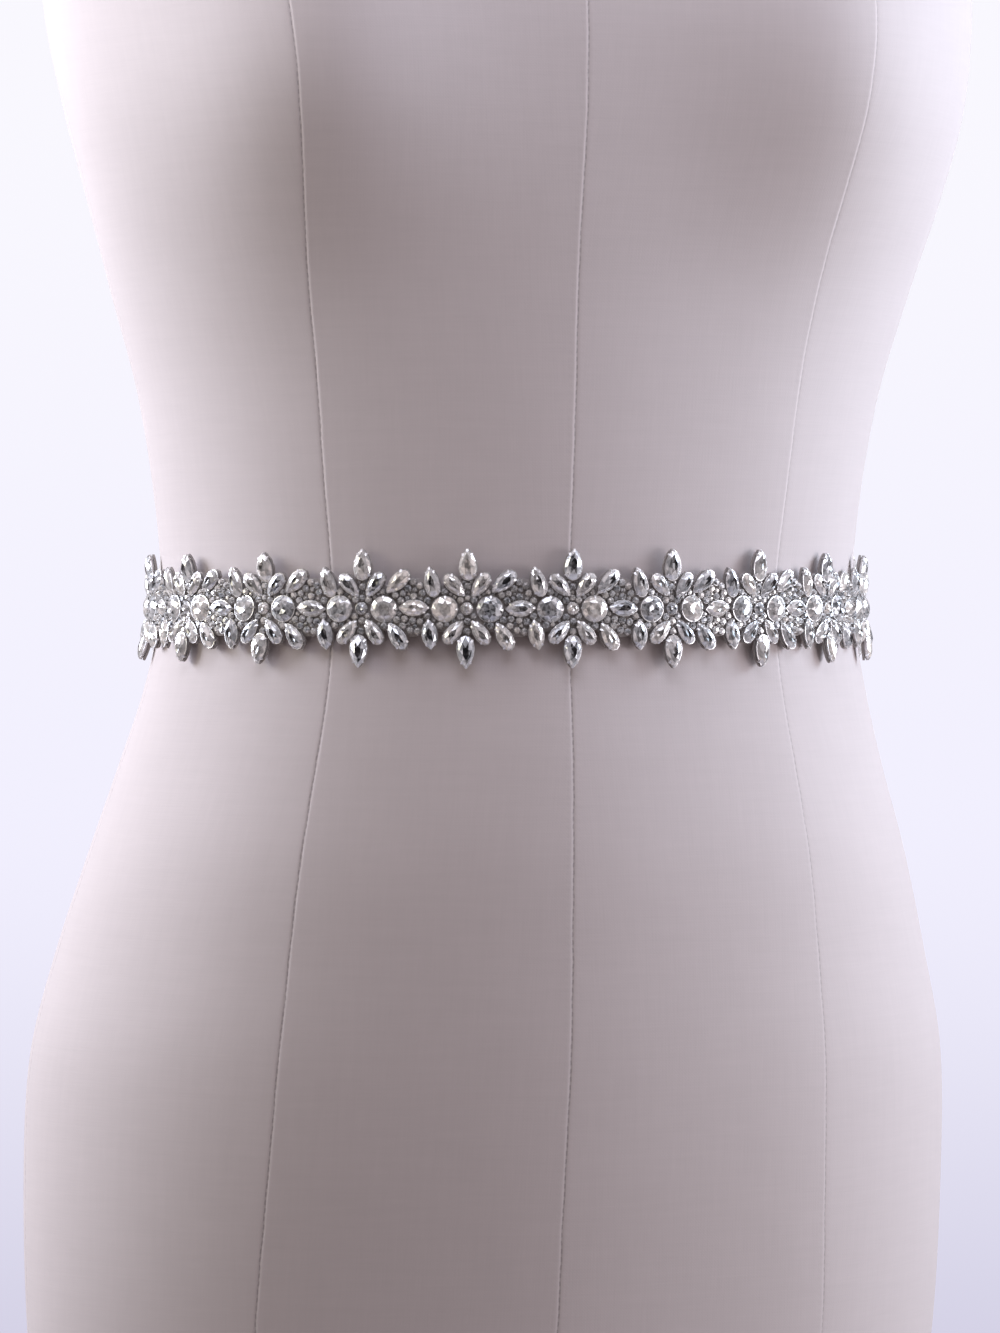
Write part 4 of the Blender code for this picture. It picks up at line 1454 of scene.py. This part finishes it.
def small_places(sizes):
    """Fill the felt between the large stones of one flower with small stones, the largest first."""
    columns = np.arange(-FLOWER_PITCH / 2, FLOWER_PITCH / 2, SEARCH_STEP)
    ups = np.arange(*SEARCH_UPS, SEARCH_STEP)
    places = np.array([(across, up) for across in columns for up in ups])
    stones = [stone._replace(across=stone.across + shift) for stone in FLOWER_STONES + (SPACER_STONE,)
              for shift in (-FLOWER_PITCH, 0.0, FLOWER_PITCH)]
    free = clearance(places, stones) - sizes.stone_gap
    edges = np.array([band_edges(across) for across in places[:, 0]])
    free = np.minimum(free, np.minimum(places[:, 1] - edges[:, 0], edges[:, 1] - places[:, 1]))
    found = []
    radius = sizes.small_largest / 2
    while radius >= sizes.small_smallest / 2:
        fits = np.where(free >= radius)[0]
        if len(fits) == 0:
            radius -= RADIUS_STEP
            continue
        chosen = fits[np.argmin(free[fits])]
        across, up = places[chosen]
        found.append((float(across), float(up), radius))
        for shift in (-FLOWER_PITCH, 0.0, FLOWER_PITCH):
            away = np.hypot(places[:, 0] - across - shift, places[:, 1] - up)
            free = np.minimum(free, away - radius - 0.5 * sizes.stone_gap)
    return found


def small_seats(sizes):
    """Return the seats of the small stones of the whole trim."""
    rows = []
    pattern = small_places(sizes)
    for centre in FLOWER_CENTRES:
        for across, up, radius in pattern:
            distance = centre + across
            low, high = band_edges(distance)
            if abs(distance) + radius < TRIM_HALF and low + radius < up < high - radius:
                lean = math.degrees(across * SMALL_TURN)
                rows.append(SeatRow(distance, up, lean, 0, (radius / MM,) * 3))
    return rows


def setter_tree(shapes):
    """Make the node tree that sets the shapes on the seats: kind picks the shape, and each leans a little.

    Return it with its inputs.
    """
    tree = bpy.data.node_groups.new("set_on_seats", "GeometryNodeTree")
    tree.interface.new_socket("Geometry", in_out="OUTPUT", socket_type="NodeSocketGeometry")
    inputs = {}
    for name, kind in (("Seats", "NodeSocketGeometry"), ("Hand set lean", "NodeSocketFloat"),
                       ("Seed", "NodeSocketInt"), ("Finish", "NodeSocketMaterial")):
        inputs[name] = tree.interface.new_socket(name, in_out="INPUT", socket_type=kind)
    bench = Bench(tree)
    group = bench.add("NodeGroupInput", {}, {}, output="Seats")

    def given(name):
        return Pin(bench, group.socket.node.outputs[name])

    def named(name, kind):
        return bench.add("GeometryNodeInputNamedAttribute", {"data_type": kind}, {"Name": name},
                         output="Attribute")

    def drawn(low, high, kind, offset):
        seed = bench.add("ShaderNodeMath", {"operation": "ADD"}, {0: given("Seed"), 1: offset})
        return bench.add("FunctionNodeRandomValue", {"data_type": kind},
                         {"Min": low, "Max": high, "Seed": seed}, output="Value")

    least = tuple(-part for part in LEAN_MOST)
    lean = bench.add("ShaderNodeVectorMath", {"operation": "SCALE"},
                     {0: drawn(least, LEAN_MOST, "FLOAT_VECTOR", 0),
                      "Scale": given("Hand set lean")}, output="Vector")
    turn = bench.add("FunctionNodeRotateRotation", {"rotation_space": "LOCAL"},
                     {"Rotation": bench.add("FunctionNodeEulerToRotation", {},
                                            {"Euler": named("turn", "FLOAT_VECTOR")}),
                      "Rotate By": bench.add("FunctionNodeEulerToRotation", {}, {"Euler": lean})})
    seats = bench.add("GeometryNodeStoreNamedAttribute", {"data_type": "FLOAT", "domain": "POINT"},
                      {"Geometry": given("Seats"), "Name": "tone",
                       "Value": drawn(0.0, 1.0, "FLOAT", TONE_SEED)})
    sets = []
    for number, shape in enumerate(shapes):
        picked = bench.add("FunctionNodeCompare", {"data_type": "INT", "operation": "EQUAL"},
                           {"A": named("kind", "INT"), "B": number})
        copy = bench.add("GeometryNodeObjectInfo", {}, {"Object": shape, "As Instance": True},
                         output="Geometry")
        sets.append(bench.add("GeometryNodeInstanceOnPoints", {},
                              {"Points": seats, "Selection": picked, "Instance": copy, "Rotation": turn,
                               "Scale": named("size", "FLOAT_VECTOR")}))
    every = bench.add("GeometryNodeJoinGeometry", {}, {"Geometry": sets})
    real = bench.add("GeometryNodeRealizeInstances", {}, {"Geometry": every})
    finished = bench.add("GeometryNodeSetMaterial", {}, {"Geometry": real, "Material": given("Finish")})
    bench.add("NodeGroupOutput", {}, {"Geometry": finished})
    return tree, inputs


def set_on_seats(seats, shapes, material, sizes, seed):
    """Run the node tree on the seats and return what it makes as a plain mesh."""
    models = [bpy.data.objects.new(shape.name, shape) for shape in shapes]
    carrier = bpy.data.objects.new("seats", seats)
    collection = bpy.context.scene.collection
    for obj in models + [carrier]:
        collection.objects.link(obj)
    tree, inputs = setter_tree(models)
    setter = carrier.modifiers.new("set", "NODES")
    setter.node_group = tree
    setter[inputs["Hand set lean"].identifier] = sizes.stone_lean
    setter[inputs["Seed"].identifier] = seed
    setter[inputs["Finish"].identifier] = material
    depsgraph = bpy.context.evaluated_depsgraph_get()
    mesh = bpy.data.meshes.new_from_object(carrier.evaluated_get(depsgraph), preserve_all_data_layers=True,
                                           depsgraph=depsgraph)
    carrier.modifiers.remove(setter)
    for obj in models + [carrier]:
        bpy.data.objects.remove(obj, do_unlink=True)
    if not mesh.polygons:
        raise RuntimeError("the stones were not set")
    return mesh


class FormSizes(bpy.types.PropertyGroup):
    """Sizes and colour of the form's cover"""
    seam_depth: FloatProperty(name="Seam depth", description="How deep the seams sink into the padding",
                              default=0.00022, min=0.0, max=0.002, unit="LENGTH")
    seam_width: FloatProperty(name="Seam width", description="Half width of a seam's groove",
                              default=0.00038, min=0.0002, max=0.002, unit="LENGTH")
    panel_flatness: FloatProperty(name="Panel flatness", default=0.012, min=0.0, max=0.04,
                                  description="Hollow of a panel as a share of its width")
    thread_pitch: FloatProperty(name="Thread pitch", default=0.0011, min=0.0004, max=0.004, unit="LENGTH",
                                description="Distance from one thread to the next but one")
    colour: FloatVectorProperty(name="Cover colour", description="Colour of the cover's cloth", size=3,
                                subtype="COLOR", min=0.0, max=1.0, default=SLOT_COLOURS["form_cover"])


class RibbonSizes(bpy.types.PropertyGroup):
    """Sizes and colour of the ribbon"""
    thickness: FloatProperty(name="Thickness", description="Thickness of the satin",
                             default=0.0006, min=0.0002, max=0.001, unit="LENGTH")
    pleat_depth: FloatProperty(name="Pleat depth", description="Depth of the tails' gathers under the knot",
                               default=0.0014, min=0.0, max=0.003, unit="LENGTH")
    colour: FloatVectorProperty(name="Satin colour", description="Colour of the ribbon", size=3,
                                subtype="COLOR", min=0.0, max=1.0, default=SLOT_COLOURS["satin_ribbon"])


class TrimSizes(bpy.types.PropertyGroup):
    """Sizes and colours of the stone trim"""
    stone_lean: FloatProperty(name="Hand set lean", description="Most that a hand set stone leans",
                              default=math.radians(7), min=0.0, max=0.5, unit="ROTATION", subtype="ANGLE")
    stone_gap: FloatProperty(name="Stone gap", description="Clear space round a large stone",
                             default=0.00025, min=0.0, max=0.002, unit="LENGTH")
    small_largest: FloatProperty(name="Largest small stone", description="Its diameter",
                                 default=0.0024, min=0.001, max=0.004, unit="LENGTH")
    small_smallest: FloatProperty(name="Smallest small stone", description="Its diameter",
                                  default=0.0011, min=0.0008, max=0.003, unit="LENGTH")
    seed: IntProperty(name="Seed", description="Picks the stones' leans and tones", default=5, min=0)
    crystal_colour: FloatVectorProperty(name="Crystal colour", size=3, subtype="COLOR", min=0.0, max=1.0,
                                        description="Colour of the foil backed stones",
                                        default=SLOT_COLOURS["crystal"])
    felt_colour: FloatVectorProperty(name="Felt colour", description="Colour of the felt under the stones",
                                     size=3, subtype="COLOR", min=0.0, max=1.0,
                                     default=(0.430, 0.394, 0.380))


class StageSizes(bpy.types.PropertyGroup):
    """Light, floor and backdrop"""
    side_light: FloatProperty(name="Side light", default=10.87, min=0.0, unit="POWER",
                              description="Power of the left light; the right one is weaker")
    fill_light: FloatProperty(name="Fill light", default=3.78, min=0.0, unit="POWER",
                              description="Power of the right fill; the left one is weaker")
    top_light: FloatProperty(name="Top light", description="Power of the light above the front",
                             default=4.45, min=0.0, unit="POWER")
    room_light: FloatProperty(name="Room light", description="Brightness of the room round the form",
                              default=0.422, min=0.0)
    floor_radius: FloatProperty(name="Floor radius", default=0.52, min=0.3, max=3.0, unit="LENGTH",
                                description="How far the floor reaches before it fades")


class SashOperator(bpy.types.Operator):
    """Shared by the operators that make pieces"""
    bl_options = {"REGISTER", "UNDO"}


class SASH_OT_stage(SashOperator):
    """Set the camera, the lights, the backdrop and the floor"""
    bl_idname = "sash.stage"
    bl_label = "Stage"

    def execute(self, context):
        scene = context.scene
        sizes = scene.sash_stage
        scene.view_settings.view_transform = "Standard"
        towards = Vector((-math.sin(CAMERA_TURN), -math.cos(CAMERA_TURN), 0.0))
        self.add_camera(scene, towards)
        self.add_lights(scene, sizes, towards)
        self.add_backdrop(scene, sizes, towards)
        self.add_floor(scene, sizes)
        return {"FINISHED"}

    @staticmethod
    def add_camera(scene, towards):
        """Stand the camera where the photograph was taken from."""
        data = bpy.data.cameras.new("camera")
        data.sensor_width = SENSOR
        data.lens = SENSOR * CAMERA_DISTANCE * PIXELS_PER_METRE / IMAGE_HEIGHT
        data.shift_x = (IMAGE_WIDTH / 2 - AXIS_PIXEL) / IMAGE_HEIGHT
        data.shift_y = (WAIST_PIXEL - IMAGE_HEIGHT / 2) / IMAGE_HEIGHT
        camera = bpy.data.objects.new("camera", data)
        camera.location = towards * CAMERA_DISTANCE + Vector((0.0, 0.0, WAIST_HEIGHT))
        camera.rotation_euler = (math.pi / 2, 0.0, -CAMERA_TURN)
        scene.collection.objects.link(camera)
        scene.camera = camera

    @staticmethod
    def add_lights(scene, sizes, towards):
        """Place soft lights beside the form and one above its front, by their angle from the camera."""
        across = Vector((math.cos(CAMERA_TURN), -math.sin(CAMERA_TURN), 0.0))
        Lamp = namedtuple("Lamp", "name degrees away height aim size power colour")
        side, fill = sizes.side_light, sizes.fill_light
        rows = (
            Lamp("left_light", -97, 0.85, 0.62, 0.58, LAMP_SIZE, side, (0.805, 0.861, 1.0)),
            Lamp("right_light", 97, 0.85, 0.62, 0.58, LAMP_SIZE, RIGHT_SIDE_SHARE * side,
                 (0.724, 0.848, 1.0)),
            Lamp("left_fill", -72, 1.00, 0.62, 0.58, LAMP_SIZE, LEFT_FILL_SHARE * fill,
                 (1.0, 0.954, 0.763)),
            Lamp("right_fill", 72, 1.00, 0.26, 0.22, LAMP_SIZE, fill, (0.978, 0.945, 1.0)),
            Lamp("top_light", 0, 0.65, 1.15, 0.50, (0.90, 0.45), sizes.top_light, (0.825, 0.855, 1.0)),
        )
        for lamp in rows:
            data = bpy.data.lights.new(lamp.name, "AREA")
            data.shape = "RECTANGLE"
            data.size, data.size_y = lamp.size
            data.energy = lamp.power
            data.color = lamp.colour
            light = bpy.data.objects.new(lamp.name, data)
            angle = math.radians(lamp.degrees)
            light.location = (towards * math.cos(angle) + across * math.sin(angle)) * lamp.away
            light.location.z = lamp.height
            aim = light.location - Vector((0.0, 0.0, lamp.aim))
            light.rotation_euler = aim.to_track_quat("Z", "Y").to_euler()
            scene.collection.objects.link(light)

    @staticmethod
    def add_backdrop(scene, sizes, towards):
        """Surround the form with a pale backdrop, and light it and its reflections by a room of panels."""
        world = bpy.data.worlds.new("backdrop")
        world.use_nodes = True
        scene.world = world
        bench = Bench(world.node_tree)
        direction = bench.add("ShaderNodeTexCoord", {}, output="Generated")
        parts = bench.add("ShaderNodeSeparateXYZ", {}, {"Vector": direction}, output="X")
        across, deep, up = (Pin(bench, parts.socket.node.outputs[name]) for name in "XYZ")
        facing = across * towards.x + deep * towards.y
        panels = bench.map(bench.noise(direction, ROOM_PANELS, detail=1.0), *PANEL_EDGE, *PANEL_LEVELS)
        level = panels * bench.map(facing, *CAMERA_SIDE, 1.0, CAMERA_SIDE_LEVEL) * sizes.room_light
        room = bench.add("ShaderNodeBackground", {}, {"Color": opaque(ROOM_COLOUR), "Strength": level})
        lower = bench.blend(bench.map(up, *LOW_BLEND), BACKDROP_LOW, BACKDROP_MIDDLE)
        shown = bench.blend(bench.map(up, *HIGH_BLEND), lower, BACKDROP_HIGH)
        drop = bench.add("ShaderNodeBackground", {}, {"Color": shown})
        seen = bench.add("ShaderNodeLightPath", {}, output="Is Camera Ray")
        both = bench.add("ShaderNodeMixShader", {}, {0: seen, 1: room, 2: drop})
        bench.add("ShaderNodeOutputWorld", {}, {"Surface": both})

    @staticmethod
    def add_floor(scene, sizes):
        """Lay a pale round floor that fades into the backdrop."""
        material, bench, shader = new_material("floor", {
            "Base Color": opaque(FLOOR_COLOUR), "Roughness": 0.8})
        place = bench.add("ShaderNodeTexCoord", {}, output="Object")
        away = bench.add("ShaderNodeVectorMath", {"operation": "LENGTH"}, {0: place}, output="Value")
        solid = bench.map(away, sizes.floor_radius * FLOOR_SOLID, sizes.floor_radius, 1.0, 0.0)
        link(bench, solid, shader, "Alpha")
        work = bmesh.new()
        bmesh.ops.create_circle(work, cap_ends=True, radius=sizes.floor_radius,
                                 segments=FLOOR_CORNERS)
        mesh = bpy.data.meshes.new("floor")
        work.to_mesh(mesh)
        work.free()
        mesh.materials.append(material)
        floor = bpy.data.objects.new("floor", mesh)
        scene.collection.objects.link(floor)
        floor.visible_diffuse = False


class SASH_OT_form_cover(SashOperator):
    """Make the form's sewn cover"""
    bl_idname = "sash.form_cover"
    bl_label = "Form cover"

    def execute(self, context):
        sizes = context.scene.sash_form
        material = cover_material(sizes.colour, sizes.thread_pitch)
        add_piece("form_cover", build_cover(sizes), material, ["dress_form"])
        return {"FINISHED"}


class SASH_OT_ribbon(SashOperator):
    """Make the waist ribbon, its knot and its two tails"""
    bl_idname = "sash.ribbon"
    bl_label = "Ribbon, knot and tails"

    def execute(self, context):
        sizes = context.scene.sash_ribbon
        satin = satin_material(sizes.colour)
        ribbon = add_piece("ribbon_satin", build_ribbon(sizes), satin, ["ribbon"])
        add_piece("knot_satin", build_knot(), satin, ["knot"])
        for name, side in (("tail_left", 1), ("tail_right", -1)):
            tail = add_piece(name + "_satin", build_tail(name, side, sizes), satin, [name])
        return {"FINISHED"}


class SASH_OT_large_stones(SashOperator):
    """Make the felt band, and the large stones in their settings"""
    bl_idname = "sash.large_stones"
    bl_label = "Large stones"

    def execute(self, context):
        sizes = context.scene.sash_trim
        felt = felt_material(sizes.felt_colour)
        metal = metal_material()
        crystal = crystal_material("crystal", sizes.crystal_colour, metallic=0.45, gloss=0.03)
        seats = seat_points("large_seats", large_seats())
        groups = (
            ("trim_stones", stone_mesh, crystal),
            ("trim_settings", setting_mesh, metal),
            ("trim_pads", pad_mesh, felt),
        )
        for name, make, material in groups:
            shapes = [make(shape) for shape in CUT_ORDER]
            mesh = set_on_seats(seats.copy(), shapes, material, sizes, sizes.seed)
            if name == "trim_settings":
                mesh.shade_smooth()
                mesh.set_sharp_from_angle(angle=SHARP_ANGLE)
            add_piece(name, mesh, material, FLOWER_NODES)
        add_piece("trim_band", build_band(), felt, FLOWER_NODES)
        return {"FINISHED"}


class SASH_OT_small_stones(SashOperator):
    """Fill the felt between the large stones with small stones in cups"""
    bl_idname = "sash.small_stones"
    bl_label = "Small stones"

    def execute(self, context):
        sizes = context.scene.sash_trim
        crystal = crystal_material("crystal_small", sizes.crystal_colour, metallic=0.35, gloss=0.10)
        metal = metal_material()
        seats = seat_points("small_seats", small_seats(sizes))
        for name, make, material in (("small_stones", small_stone_mesh, crystal),
                                     ("small_settings", small_setting_mesh, metal)):
            mesh = set_on_seats(seats.copy(), [make()], material, sizes, sizes.seed + SMALL_SEED)
            add_piece(name, mesh, material, FLOWER_NODES)
        return {"FINISHED"}


class SASH_PT_panel(bpy.types.Panel):
    """Lists the steps that make the sash, with their sizes"""
    bl_idname = "SASH_PT_panel"
    bl_label = "Bridal sash"
    bl_space_type = "VIEW_3D"
    bl_region_type = "UI"
    bl_category = "Sash"

    def draw(self, context):
        for group, steps in PANEL_ROWS:
            box = self.layout.box()
            sizes = getattr(context.scene, group)
            for name in type(sizes).__annotations__:
                box.prop(sizes, name)
            for step in steps:
                box.operator(step.bl_idname)


GROUPS = {
    "sash_form": FormSizes,
    "sash_ribbon": RibbonSizes,
    "sash_trim": TrimSizes,
    "sash_stage": StageSizes,
}
STEPS = (SASH_OT_stage, SASH_OT_form_cover, SASH_OT_ribbon, SASH_OT_large_stones, SASH_OT_small_stones)
PANEL_ROWS = (
    ("sash_form", [SASH_OT_form_cover]),
    ("sash_ribbon", [SASH_OT_ribbon]),
    ("sash_trim", [SASH_OT_large_stones, SASH_OT_small_stones]),
    ("sash_stage", [SASH_OT_stage]),
)


def register():
    for kind in (*GROUPS.values(), *STEPS, SASH_PT_panel):
        bpy.utils.register_class(kind)
    for name, group in GROUPS.items():
        setattr(bpy.types.Scene, name, PointerProperty(type=group))


def unregister():
    for name in GROUPS:
        delattr(bpy.types.Scene, name)
    for kind in reversed((*GROUPS.values(), *STEPS, SASH_PT_panel)):
        bpy.utils.unregister_class(kind)


def main():
    """Make every piece."""
    register()
    for step in STEPS:
        group, name = step.bl_idname.split(".")
        getattr(getattr(bpy.ops, group), name)()


if __name__ == "__main__":
    main()
